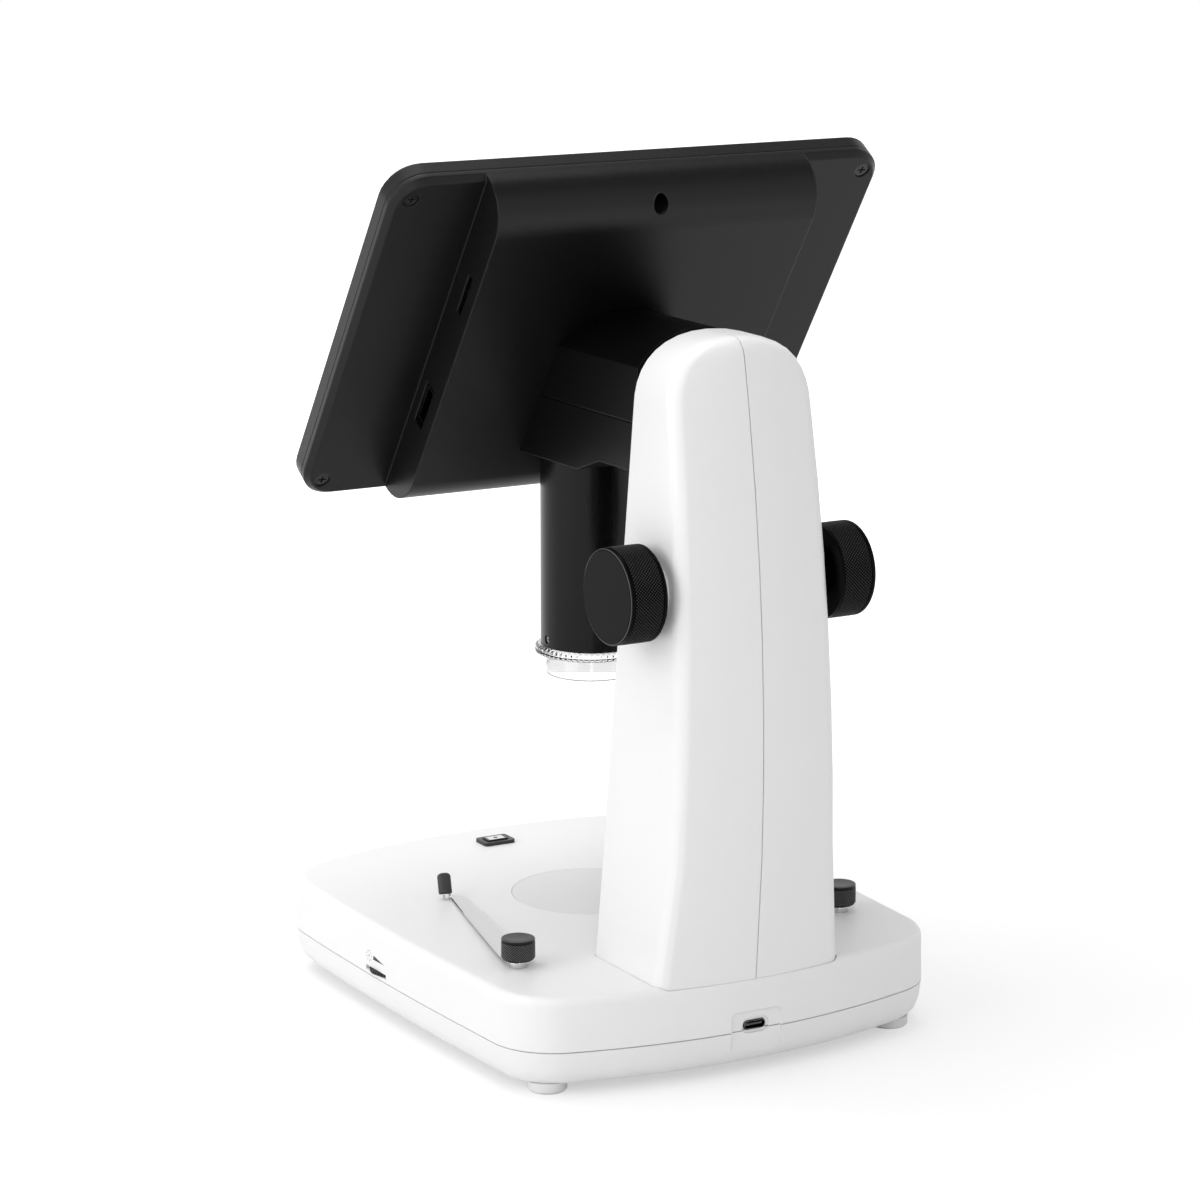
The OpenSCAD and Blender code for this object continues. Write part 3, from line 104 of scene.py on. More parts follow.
def makeMouldedSkin():
    # fine spark texture of a moulded part, with slow changes in gloss and tone
    look = skinNoise
    tree, inp, out = newGroup("mouldedSkin", [
        ("Grain Scale", "NodeSocketFloat", 2200.0), ("Roughness", "NodeSocketFloat", 0.45),
        ("Gloss Spread", "NodeSocketFloat", 0.06), ("Tone Spread", "NodeSocketFloat", 0.04),
        ("Color", "NodeSocketColor", grey(0.8))],
        [("Height", "NodeSocketFloat"), ("Roughness", "NodeSocketFloat"), ("Color", "NodeSocketColor")])
    where = objectPlace(tree)
    grain = noise(tree, where, inp.outputs["Grain Scale"], look["grainDetail"], look["grainRough"])
    slow = noise(tree, where, look["slowScale"], look["slowDetail"])
    mid = noise(tree, where, look["midScale"], look["midDetail"])
    blend = mathNode(tree, "ADD", mathNode(tree, "MULTIPLY", slow, look["slowShare"]),
                     mathNode(tree, "MULTIPLY", mid, look["midShare"]))
    centred = mathNode(tree, "SUBTRACT", blend, 0.5)
    rough = mathNode(tree, "ADD", inp.outputs["Roughness"],
                     mathNode(tree, "MULTIPLY", centred, inp.outputs["Gloss Spread"]))
    tone = mathNode(tree, "ADD", 1.0, mathNode(tree, "MULTIPLY", centred, inp.outputs["Tone Spread"]))
    toned = addNode(tree, "ShaderNodeVectorMath", [(0, inp.outputs["Color"]), ("Scale", tone)],
                    operation="SCALE")
    tree.links.new(grain, out.inputs["Height"])
    tree.links.new(rough, out.inputs["Roughness"])
    tree.links.new(toned.outputs[0], out.inputs["Color"])
    return tree


rubAndHighlightLimits = {"edge": (0.98, 0.75), "breaks": (0.42, 0.62), "breakDetail": 4.0, "samples": 4}


def makeEdgeRubAndHighlight():
    # mask of edges, for the wear that hands rub there and for a painted highlight along edges, broken up so
    # that it never makes an even line
    look = rubAndHighlightLimits
    tree, inp, out = newGroup("edgeRubAndHighlight", [
        ("Width", "NodeSocketFloat", 0.0005), ("Amount", "NodeSocketFloat", 0.5),
        ("Break Scale", "NodeSocketFloat", 300.0)], [("Mask", "NodeSocketFloat")])
    soft = addNode(tree, "ShaderNodeBevel", [("Radius", inp.outputs["Width"])],
                   samples=look["samples"]).outputs[0]
    hard = tree.nodes.new("ShaderNodeNewGeometry").outputs["Normal"]
    dot = addNode(tree, "ShaderNodeVectorMath", [(0, soft), (1, hard)],
                  operation="DOT_PRODUCT").outputs["Value"]
    edge = mapRange(tree, dot, *look["edge"])
    breaks = noise(tree, objectPlace(tree), inp.outputs["Break Scale"], look["breakDetail"])
    broken = mapRange(tree, breaks, *look["breaks"])
    mask = mathNode(tree, "MULTIPLY", mathNode(tree, "MULTIPLY", edge, broken), inp.outputs["Amount"],
                    clamp=True)
    tree.links.new(mask, out.inputs["Mask"])
    return tree


dustLimits = {"facing": (0.3, 1.0), "thin": (0.5, 0.75), "detail": 5.0, "rough": 0.7}


def makeFineDust():
    # dust that settles on faces that look up
    look = dustLimits
    tree, inp, out = newGroup("fineDust", [
        ("Amount", "NodeSocketFloat", 0.1), ("Scale", "NodeSocketFloat", 900.0)],
        [("Mask", "NodeSocketFloat")])
    normal = tree.nodes.new("ShaderNodeNewGeometry").outputs["Normal"]
    up = addNode(tree, "ShaderNodeSeparateXYZ", [(0, normal)]).outputs["Z"]
    facing = mapRange(tree, up, *look["facing"])
    specks = noise(tree, objectPlace(tree), inp.outputs["Scale"], look["detail"], look["rough"])
    thin = mapRange(tree, specks, *look["thin"])
    mask = mathNode(tree, "MULTIPLY", mathNode(tree, "MULTIPLY", facing, thin), inp.outputs["Amount"],
                    clamp=True)
    tree.links.new(mask, out.inputs["Mask"])
    return tree


def makeTurningLines():
    # fine tool marks that run round or along a part; Stretch squeezes the noise per axis
    tree, inp, out = newGroup("turningLines", [
        ("Stretch", "NodeSocketVector", (60.0, 4000.0, 4000.0)), ("Roughness", "NodeSocketFloat", 0.3),
        ("Spread", "NodeSocketFloat", 0.12)],
        [("Height", "NodeSocketFloat"), ("Roughness", "NodeSocketFloat")])
    squeezed = addNode(tree, "ShaderNodeVectorMath", [(0, objectPlace(tree)), (1, inp.outputs["Stretch"])],
                       operation="MULTIPLY").outputs[0]
    lines = noise(tree, squeezed, 1.0, 3.0)
    centred = mathNode(tree, "SUBTRACT", lines, 0.5)
    rough = mathNode(tree, "ADD", inp.outputs["Roughness"],
                     mathNode(tree, "MULTIPLY", centred, inp.outputs["Spread"]))
    tree.links.new(lines, out.inputs["Height"])
    tree.links.new(rough, out.inputs["Roughness"])
    return tree


mouldedSkin = makeMouldedSkin()
edgeRubAndHighlight = makeEdgeRubAndHighlight()
fineDust = makeFineDust()
turningLines = makeTurningLines()
print("shader groups made")


def newMaterial(name, **shaderValues):
    # a shader value's name has _ where the socket's has a space
    mat = bpy.data.materials.new(name)
    mat.use_nodes = True
    shader = mat.node_tree.nodes["Principled BSDF"]
    for key, value in shaderValues.items():
        shader.inputs[key.replace("_", " ")].default_value = value
    return mat, mat.node_tree, shader


def placeGroup(tree, group, **values):
    made = tree.nodes.new("ShaderNodeGroup")
    made.node_tree = group
    for key, value in values.items():
        made.inputs[key.replace("_", " ")].default_value = value
    return made


def bumpFrom(tree, shader, height, distance, strength=1.0, soften=0.0):
    # soften rounds the shading of hard edges over that many metres
    bump = addNode(tree, "ShaderNodeBump", [("Strength", strength), ("Distance", distance),
                                            ("Height", height)])
    if soften:
        rounded = addNode(tree, "ShaderNodeBevel", [("Radius", soften)], samples=6).outputs[0]
        tree.links.new(rounded, bump.inputs["Normal"])
    tree.links.new(bump.outputs["Normal"], shader.inputs["Normal"])


def mixColor(tree, factor, a, b):
    made = tree.nodes.new("ShaderNodeMix")
    made.data_type = "RGBA"
    for number, source in ((0, factor), (6, a), (7, b)):  # the colour sockets of a Mix node
        if isinstance(source, bpy.types.NodeSocket):
            tree.links.new(source, made.inputs[number])
        else:
            made.inputs[number].default_value = source
    return made.outputs[2]


def wearDustAndHighlightColor(tree, color, group, wearDustAndHighlightTint, **values):
    # lays a mask's colour over the surface; used for settled dust, and for rubbed wear together with a
    # painted edge highlight
    mask = placeGroup(tree, group, **values).outputs["Mask"]
    return mixColor(tree, mask, color, wearDustAndHighlightTint)


def linkSurface(tree, shader, color, roughness):
    tree.links.new(color, shader.inputs["Base Color"])
    tree.links.new(roughness, shader.inputs["Roughness"])


dustColor = (0.6, 0.6, 0.58, 1)


def plasticMaterial(name, color, roughness, grain, bump, glossSpread=0.06, toneSpread=0.04, rub=0.0,
                    rubColor=None, dust=0.0, soften=0.0, **shaderValues):
    mat, tree, shader = newMaterial(name, **shaderValues)
    skin = placeGroup(tree, mouldedSkin, Grain_Scale=grain, Roughness=roughness,
                      Gloss_Spread=glossSpread, Tone_Spread=toneSpread, Color=color)
    surface = skin.outputs["Color"]
    # rub lightens the edges: rubbed wear and a painted highlight along them
    if rub:
        surface = wearDustAndHighlightColor(tree, surface, edgeRubAndHighlight, rubColor, Amount=rub)
    if dust:
        surface = wearDustAndHighlightColor(tree, surface, fineDust, dustColor, Amount=dust)
    linkSurface(tree, shader, surface, skin.outputs["Roughness"])
    bumpFrom(tree, shader, skin.outputs["Height"], bump, soften=soften)
    return mat


metalSkin = {"Grain_Scale": 600.0, "Tone_Spread": 0.12}
metalRubAndHighlightWidth = 0.0003


def metalMaterial(name, color, roughness, stretch, spread, bump, metallic=1.0, rub=0.0, rubColor=None,
                  soften=0.0, tipColor=None, **shaderValues):
    mat, tree, shader = newMaterial(name, Metallic=metallic, **shaderValues)
    lines = placeGroup(tree, turningLines, Stretch=stretch, Roughness=roughness, Spread=spread)
    surface = placeGroup(tree, mouldedSkin, Color=color, **metalSkin).outputs["Color"]
    # rub lightens the edges: rubbed wear and a painted highlight along them
    if rub:
        surface = wearDustAndHighlightColor(tree, surface, edgeRubAndHighlight, rubColor, Amount=rub, Width=metalRubAndHighlightWidth)
    if tipColor:
        # the points of a knurl and the marked rings are lightened: polish by fingers, and painted glints
        # and rim highlights
        tips = addNode(tree, "ShaderNodeAttribute", attribute_name="tip").outputs["Fac"]
        surface = mixColor(tree, mathNode(tree, "POWER", tips, 3.0), surface, tipColor)
    linkSurface(tree, shader, surface, lines.outputs["Roughness"])
    bumpFrom(tree, shader, lines.outputs["Height"], bump, soften=soften)
    return mat


def glassMaterial(name, skin, bump=0.0, bumpStrength=0.4, **shaderValues):
    # clear or dark and smooth, with the faint smears of fingers in its gloss
    mat, tree, shader = newMaterial(name, **shaderValues)
    face = placeGroup(tree, mouldedSkin, **skin)
    linkSurface(tree, shader, face.outputs["Color"], face.outputs["Roughness"])
    if bump:
        bumpFrom(tree, shader, face.outputs["Height"], bump, bumpStrength)
    return mat


boardLook = {"cellScale": 260.0, "mortar": 0.02, "maskA": (0.01, 0.09, 0.03, 1),
             "maskB": (0.012, 0.11, 0.04, 1), "track": (0.05, 0.25, 0.09, 1), "padScale": 320.0,
             "padEdge": (0.22, 0.18), "pad": (0.6, 0.55, 0.4, 1), "padTall": 0.00003, "padBump": 0.5,
             "skin": {"Grain_Scale": 500.0, "Roughness": 0.35, "Gloss_Spread": 0.2}}


def makeCircuitBoard():
    # solder mask with pale tracks in two directions and bright pads
    look = boardLook
    mat, tree, shader = newMaterial("circuitBoard", Coat_Weight=0.4)
    where = objectPlace(tree)
    cells = addNode(tree, "ShaderNodeTexBrick", [
        ("Vector", where), ("Scale", look["cellScale"]), ("Mortar Size", look["mortar"]),
        ("Color1", look["maskA"]), ("Color2", look["maskB"]), ("Mortar", look["track"])]).outputs["Color"]
    dots = addNode(tree, "ShaderNodeTexVoronoi", [("Vector", where),
                                                  ("Scale", look["padScale"])]).outputs["Distance"]
    pads = mapRange(tree, dots, *look["padEdge"])
    skin = placeGroup(tree, mouldedSkin, **look["skin"])
    linkSurface(tree, shader, mixColor(tree, pads, cells, look["pad"]), skin.outputs["Roughness"])
    bumpFrom(tree, shader, pads, look["padTall"], look["padBump"])
    return mat


# grain is the scale of the skin's noise; bump and soften are in metres
plastics = {
    "whiteShell": {"color": grey(0.86), "roughness": 0.42, "grain": 2600.0, "bump": 0.000012,
                   "toneSpread": 0.03, "soften": 0.0005},
    "whiteFoot": {"color": grey(0.76), "roughness": 0.6, "grain": 1800.0, "bump": 0.00002},
    # the rub colours of the black parts paint a highlight along their edges as well as rubbed wear
    "blackCase": {"color": grey(0.003), "roughness": 0.38, "grain": 3200.0, "bump": 0.00003,
                  "glossSpread": 0.12, "toneSpread": 0.3, "rub": 0.2, "rubColor": grey(0.05),
                  "dust": 0.02, "soften": 0.0009, "Specular_IOR_Level": 0.27},
    "blackHead": {"color": grey(0.002), "roughness": 0.36, "grain": 3000.0, "bump": 0.000025,
                  "glossSpread": 0.12, "toneSpread": 0.3, "rub": 0.1, "rubColor": grey(0.03),
                  "soften": 0.0006, "Specular_IOR_Level": 0.14},
    "blackInside": {"color": grey(0.02), "roughness": 0.5, "grain": 2400.0, "bump": 0.00002},
    "softSleeve": {"color": grey(0.03), "roughness": 0.55, "grain": 1500.0, "bump": 0.00004,
                   "glossSpread": 0.2, "toneSpread": 0.4, "dust": 0.1},
    "switchBlack": {"color": grey(0.01), "roughness": 0.32, "grain": 2600.0, "bump": 0.00001,
                    "rub": 0.15, "rubColor": grey(0.08), "soften": 0.0003},
    "keyBlack": {"color": grey(0.02), "roughness": 0.38, "grain": 2400.0, "bump": 0.00001,
                 "rub": 0.15, "rubColor": grey(0.07), "soften": 0.0003},
    "frostedDisc": {"color": grey(0.79), "roughness": 0.62, "grain": 1600.0, "bump": 0.00003,
                    "toneSpread": 0.05, "Subsurface_Weight": 0.2,
                    "Subsurface_Radius": (0.004, 0.004, 0.004)},
    "whitePrint": {"color": grey(0.75), "roughness": 0.5, "grain": 2000.0, "bump": 0.000004},
    "greyPrint": {"color": grey(0.42), "roughness": 0.6, "grain": 2000.0, "bump": 0.000004},
    "darkPrint": {"color": grey(0.03), "roughness": 0.6, "grain": 2000.0, "bump": 0.000004},
}

# the tool marks run along the axis with the smallest stretch; black parts aren't metallic
metals = {
    # tip colours paint glints on the knurl points and highlight rings at the face rims, along with polish
    "anodised": {"color": grey(0.002), "roughness": 0.36, "stretch": (3000.0, 3000.0, 90.0),
                 "spread": 0.12, "bump": 0.000004, "metallic": 0.0, "tipColor": grey(0.13),
                 "Specular_IOR_Level": 0.04},
    "thumbBlack": {"color": grey(0.004), "roughness": 0.3, "stretch": (90.0, 3000.0, 3000.0),
                   "spread": 0.12, "bump": 0.000004, "metallic": 0.0, "tipColor": grey(0.5),
                   "Specular_IOR_Level": 0.22},
    "anodisedTube": {"color": grey(0.003), "roughness": 0.26, "stretch": (800.0, 800.0, 60.0),
                     "spread": 0.1, "bump": 0.000004, "metallic": 0.0, "soften": 0.0003,
                     "Specular_IOR_Level": 0.17},
    "chromeStrip": {"color": grey(0.6), "roughness": 0.08, "stretch": (500.0, 60.0, 500.0),
                    "spread": 0.05, "bump": 0.000002},
    "chromeStud": {"color": grey(0.62), "roughness": 0.06, "stretch": (90.0, 90.0, 3000.0),
                   "spread": 0.05, "bump": 0.000002},
    "steelPlain": {"color": grey(0.55), "roughness": 0.3, "stretch": (900.0, 900.0, 900.0),
                   "spread": 0.2, "bump": 0.000006},
    # the sockets' dark grey is painted shade of the port openings; the pale rub colour is their bright
    # steel edges, partly painted highlight
    "socketSteel": {"color": grey(0.07), "roughness": 0.3, "stretch": (900.0, 900.0, 900.0),
                    "spread": 0.1, "bump": 0.000004, "rub": 0.6, "rubColor": grey(0.8)},
    # the screw's rub colour paints small highlights on its edges as well as wear
    "screwBlack": {"color": grey(0.003), "roughness": 0.16, "stretch": (900.0, 900.0, 900.0),
                   "spread": 0.1, "bump": 0.000006, "metallic": 0.0, "rub": 0.25,
                   "rubColor": grey(0.08), "soften": 0.0002},
    "brassTurned": {"color": (0.75, 0.55, 0.22, 1), "roughness": 0.28, "stretch": (900.0, 900.0, 900.0),
                    "spread": 0.2, "bump": 0.000006},
    "aluminium": {"color": grey(0.7), "roughness": 0.35, "stretch": (900.0, 60.0, 900.0),
                  "spread": 0.2, "bump": 0.000006},
    "castIron": {"color": grey(0.25), "roughness": 0.5, "stretch": (400.0, 400.0, 400.0),
                 "spread": 0.3, "bump": 0.00003},
    "panelMetal": {"color": grey(0.6), "roughness": 0.35, "stretch": (60.0, 900.0, 900.0),
                   "spread": 0.2, "bump": 0.000004},
}

glasses = {
    "clearPlastic": {"skin": {"Grain_Scale": 700.0, "Roughness": 0.05, "Gloss_Spread": 0.06,
                              "Tone_Spread": 0.02, "Color": grey(0.93)},
                     "bump": 0.00001, "IOR": 1.49, "Transmission_Weight": 1.0},
    "lensGlass": {"skin": {"Grain_Scale": 400.0, "Roughness": 0.02, "Gloss_Spread": 0.02,
                           "Tone_Spread": 0.02, "Color": (0.9, 0.95, 1.0, 1)},
                  "IOR": 1.6, "Transmission_Weight": 1.0, "Coat_Weight": 0.3},
    "screenGlass": {"skin": {"Grain_Scale": 120.0, "Roughness": 0.08, "Gloss_Spread": 0.12,
                             "Tone_Spread": 0.2, "Color": (0.012, 0.013, 0.015, 1)},
                    "Coat_Weight": 0.15, "Specular_IOR_Level": 0.3},
}

finishes = {"circuitBoard": makeCircuitBoard()}
for make, table in ((plasticMaterial, plastics), (metalMaterial, metals), (glassMaterial, glasses)):
    for name, look in table.items():
        finishes[name] = make(name, **look)
print("materials made")

nodeMesh = {"weld": 0.000005, "split": 32, "weight": 60}  # weld in metres, split in degrees


def dressNode(name, material):
    look = nodeMesh
    obj = nodes[name]
    mesh = obj.data
    if mesh.has_custom_normals:
        mesh.attributes.remove(mesh.attributes["custom_normal"])
    for polygon in mesh.polygons:
        polygon.use_smooth = True
    mesh.materials.clear()
    mesh.materials.append(material)
    obj.modifiers.new("weld", "WELD").merge_threshold = look["weld"]
    obj.modifiers.new("split", "EDGE_SPLIT").split_angle = math.radians(look["split"])
    obj.modifiers.new("even", "WEIGHTED_NORMAL").weight = look["weight"]


nodeFinish = {
    "whiteShell": ["base_upper_shell", "base_lower_shell", "column_left_shell", "column_right_shell"],
    "whiteFoot": ["base_feet"],
    "blackCase": ["screen_back_cover", "screen_bezel"],
    "blackHead": ["head_upper_housing", "head_lower_cover"],
    "blackInside": ["carriage", "dimmer_body", "dimmer_wheel"],
    "switchBlack": ["light_switch_frame", "light_switch_button"],
    "keyBlack": ["menu_key", "left_key", "ok_key", "right_key", "power_key"],
    "anodised": ["lens_barrel"],
    "anodisedTube": ["tube_barrel"],
    "chromeStud": ["clip_stud_left", "clip_stud_right"],
    "steelPlain": ["base_screws", "column_screws", "head_screws", "knob_set_screws", "focus_shaft",
                   "guide_rods", "column_bracket"],
    "socketSteel": ["usb_c_socket", "card_socket", "video_socket"],
    "castIron": ["ballast_plate"],
    "screwBlack": ["screen_screws"],
    "brassTurned": ["shaft_bushes", "carriage_bushes", "focus_pinion", "focus_rack"],
    "aluminium": ["rod_block_upper", "rod_block_lower"],
    "panelMetal": ["lcd_panel"],
    "circuitBoard": ["stage_light_board", "power_board", "sensor_board", "ring_light_board",
                     "main_board", "key_board"],
    "frostedDisc": ["stage_disc"],
    "lensGlass": ["lens_elements"],
    "screenGlass": ["screen_glass"],
}
for finish, names in nodeFinish.items():
    for name in names:
        dressNode(name, finishes[finish])
print("CAD nodes dressed")


def latheRing(bm, place, along, radiusOf, count):
    # one ring of points round the local z axis; radiusOf is a radius or a function of the point's number
    ring = []
    for i in range(count):
        turn = 2 * math.pi * i / count
        radius = radiusOf(i) if callable(radiusOf) else radiusOf
        ring.append(bm.verts.new(place @ Vector((radius * math.cos(turn), radius * math.sin(turn), along))))
    return ring


def joinRings(bm, low, high, groove=None):
    # quads between two rings, or triangles whose shared edge runs along the grooves of a knurl
    count = len(low)
    for i in range(count):
        j = (i + 1) % count
        if groove is None:
            bm.faces.new((low[i], low[j], high[j], high[i]))
        elif (i + groove) % 2 == 0:
            bm.faces.new((low[i], low[j], high[j]))
            bm.faces.new((low[i], high[j], high[i]))
        else:
            bm.faces.new((low[i], low[j], high[i]))
            bm.faces.new((low[j], high[j], high[i]))


def latheKnurl(bm, place, last, start, knurl, count):
    # rows of pyramids: every other point of every other row stays down in the grooves
    pitch = (knurl["to"] - start) / knurl["rows"]
    tip = bm.verts.layers.float["tip"]
    for row in range(knurl["rows"]):
        def pyramid(i):
            return knurl["radius"] - (knurl["depth"] if (i + row) % 2 == 0 else 0.0)
        ring = latheRing(bm, place, start + (row + 0.5) * pitch, pyramid, count)
        # standing points get polish and painted glints
        for i, vert in enumerate(ring):
            vert[tip] = float((i + row) % 2)
        joinRings(bm, last, ring, row - 1 if row else None)
        last = ring
    return last


def latheBody(bm, place, profile, count):
    # profile: (along, radius) in order, with how much polish and painted highlight a ring gets as a third
    # number, or a knurl
    tip = bm.verts.layers.float.new("tip")
    last, along, first = None, 0.0, None
    for step in profile:
        if isinstance(step, dict):
            last = latheKnurl(bm, place, last, along, step, count)
            continue
        along, radius = step[:2]
        ring = latheRing(bm, place, along, radius, count)
        for vert in ring:
            vert[tip] = step[2] if len(step) > 2 else 0.0
        if last is None:
            first = ring
        else:
            joinRings(bm, last, ring)
        last = ring
    return first, last


def linkMesh(name, bm):
    # meshes are drawn in millimetres and end up in metres
    bm.transform(Matrix.Scale(mm, 4))
    bmesh.ops.recalc_face_normals(bm, faces=bm.faces)
    mesh = bpy.data.meshes.new(name)
    bm.to_mesh(mesh)
    bm.free()
    obj = bpy.data.objects.new(name, mesh)
    bpy.context.scene.collection.objects.link(obj)
    return obj


def finishPiece(name, bm, finish, body, replaced=(), sharp=35):
    obj = linkMesh(name, bm)
    for polygon in obj.data.polygons:
        polygon.use_smooth = True
    obj.data.set_sharp_from_angle(angle=math.radians(sharp))
    obj.data.materials.append(finishes[finish])
    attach(obj, body)
    if replaced:
        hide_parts(*replaced)
    return obj


def boxMiddle(node):
    low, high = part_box(node)
    return Vector([(a + b) / 2 / mm for a, b in zip(low, high)])


def boxSpan(node, axis):
    low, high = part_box(node)
    return low[axis] / mm, high[axis] / mm


def knurlBand(look, radius, start, end):
    # diamonds are twice as tall as a row, and two points of a ring are one diamond wide
    rows = round((end - start) / (look["diamondPitch"] / 2))
    return {"to": end, "radius": radius, "depth": look["depth"], "rows": rows}


def knurlCount(look, radius):
    return 2 * round(2 * math.pi * radius / look["diamondPitch"])


axisRadius = 0.01  # a lathe's first and last ring all but close on the axis

# steps at the face's rim: how far back from the face and in from the rim, in edges, and how much polish and
# painted highlight the ring gets
focusKnob = {"diamondPitch": 1.2, "depth": 0.34, "ring": 0.9, "bore": 3.0, "boreStop": 3.6,
             "hubRadius": 8.0, "recessRadius": 14.2, "recessDepth": 2.0, "edge": 0.8, "faceRing": 2.4,
             "ringUnder": 0.1, "bandGap": 0.25, "bandUnder": 0.5,
             "polishHighlightSteps": ((0.55, 0.2, 0.5), (0.3, 0.45, 1.0))}


def makeFocusKnob(side, node):
    # turned knob with a diamond knurl between two plain rings, its back hollowed round the hub
    look = focusKnob
    middle = boxMiddle(node)
    inner, outer = sorted(abs(v) for v in boxSpan(node, 0))
    zLow, zHigh = boxSpan(node, 2)
    length, radius = outer - inner, (zHigh - zLow) / 2
    turn = Matrix.Rotation(side * math.pi / 2, 4, "Y")
    place = Matrix.Translation((side * inner, middle.y, middle.z)) @ turn
    edge, gap, plain = look["edge"], look["bandGap"], radius - look["ringUnder"]
    hub, recess, stop = look["hubRadius"], look["recessRadius"], length - look["boreStop"]
    bandFrom, bandTo = edge + look["ring"] + gap, length - edge - look["ring"] - gap
    profile = [(stop, axisRadius), (stop, look["bore"]), (0.0, look["bore"]), (0.0, hub),
               (look["recessDepth"], hub), (look["recessDepth"], recess), (0.0, recess),
               (0.0, plain - edge), (edge, plain), (edge + look["ring"], plain),
               (bandFrom, radius - look["bandUnder"]), knurlBand(look, radius, bandFrom, bandTo),
               (bandTo, radius - look["bandUnder"]), (bandTo + gap, plain), (length - edge, plain)]
    profile += [(length - back * edge, plain - under * edge, polishHighlightLevel)
                for back, under, polishHighlightLevel in look["polishHighlightSteps"]]
    profile += [(length, plain - edge), (length, plain - look["faceRing"]), (length, axisRadius)]
    bm = bmesh.new()
    latheBody(bm, place, profile, knurlCount(look, radius))
    finishPiece(node + "_turned", bm, "anodised", "focus_drive", [node], sharp=24)


# steps: how far up the foot or down from the top, how far under the radius, and, for the top, how much
# polish and painted highlight a ring gets
clipKnob = {"diamondPitch": 0.95, "depth": 0.3, "slack": 0.02, "bore": 2.02, "boreDepth": 5.2,
            "footSteps": ((0.0, 0.85), (0.2, 0.5), (0.5, 0.3)), "bandGap": 0.2, "bandUnder": 0.25,
            "topRing": 1.0, "ringUnder": 0.12, "groove": 0.35, "grooveSteps": ((0.0, 0.35), (0.05, 0.55)),
            "topSteps": ((0.45, 0.08, 0.0), (0.12, 0.25, 0.7), (0.0, 0.6, 0.0)),
            "dish": 0.12, "dishFrom": (0.2, 1.0)}


def makeClipKnob(label):
    # thumb screw of a stage clip: plain top ring, a fine groove and a knurled grip
    node = "clip_screw_" + label
    look = clipKnob
    middle = boxMiddle(node)
    xLow, xHigh = boxSpan(node, 0)
    zLow, zHigh = boxSpan(node, 2)
    radius, height = (xHigh - xLow) / 2 - look["slack"], zHigh - zLow
    ringFrom = height - look["topRing"]
    bandFrom = look["footSteps"][-1][0] + look["bandGap"]
    bandTo = ringFrom - look["groove"]
    lip, deep = look["grooveSteps"][1]
    share, under = look["dishFrom"]
    profile = [(look["boreDepth"], axisRadius), (look["boreDepth"], look["bore"]), (0.0, look["bore"])]
    profile += [(up, radius - inside) for up, inside in look["footSteps"]]
    profile += [(bandFrom, radius - look["bandUnder"]), knurlBand(look, radius, bandFrom, bandTo)]
    profile += [(bandTo + up, radius - inside) for up, inside in look["grooveSteps"]]
    profile += [(ringFrom - lip, radius - deep), (ringFrom, radius - look["ringUnder"])]
    # the top rim's middle ring gets polish and a painted highlight
    profile += [(height - down, radius - inside, polishHighlightLevel) for down, inside, polishHighlightLevel in look["topSteps"]]
    profile += [(height - look["dish"] * share, radius - under), (height - look["dish"], axisRadius)]
    bm = bmesh.new()
    latheBody(bm, Matrix.Translation((middle.x, middle.y, zLow)), profile, knurlCount(look, radius))
    finishPiece(node + "_turned", bm, "thumbBlack", "clip_knob_" + label, [node],
                sharp=24)


for side, label in ((1, "left"), (-1, "right")):
    makeFocusKnob(side, "focus_knob_" + label)
    makeClipKnob(label)
print("knobs and thumb screws turned")

# wave is one rib; waist is the groove round the middle of the ribbed ring
hoodShape = {"ribs": 60, "wave": (0.0, 0.75, 1.0, 1.0, 1.0, 0.75, 0.0, 0.0), "ribDeep": 0.8,
             "wall": 1.3, "lip": 0.5, "ringTall": 3.3, "skirtIn": 4.1, "plugIn": 2.25, "seat": 0.08,
             "plugDown": 5, "rimSteps": 10, "fillet": (0.5, 0.4), "lowFace": 0.6,
             "lowSteps": ((0.3, 0.25), (0.6, 0.0)), "waistHalf": (0.4, 0.2), "waistUnder": 0.5,
             "highStep": 0.3, "highUnder": 0.15, "highFace": 0.4}


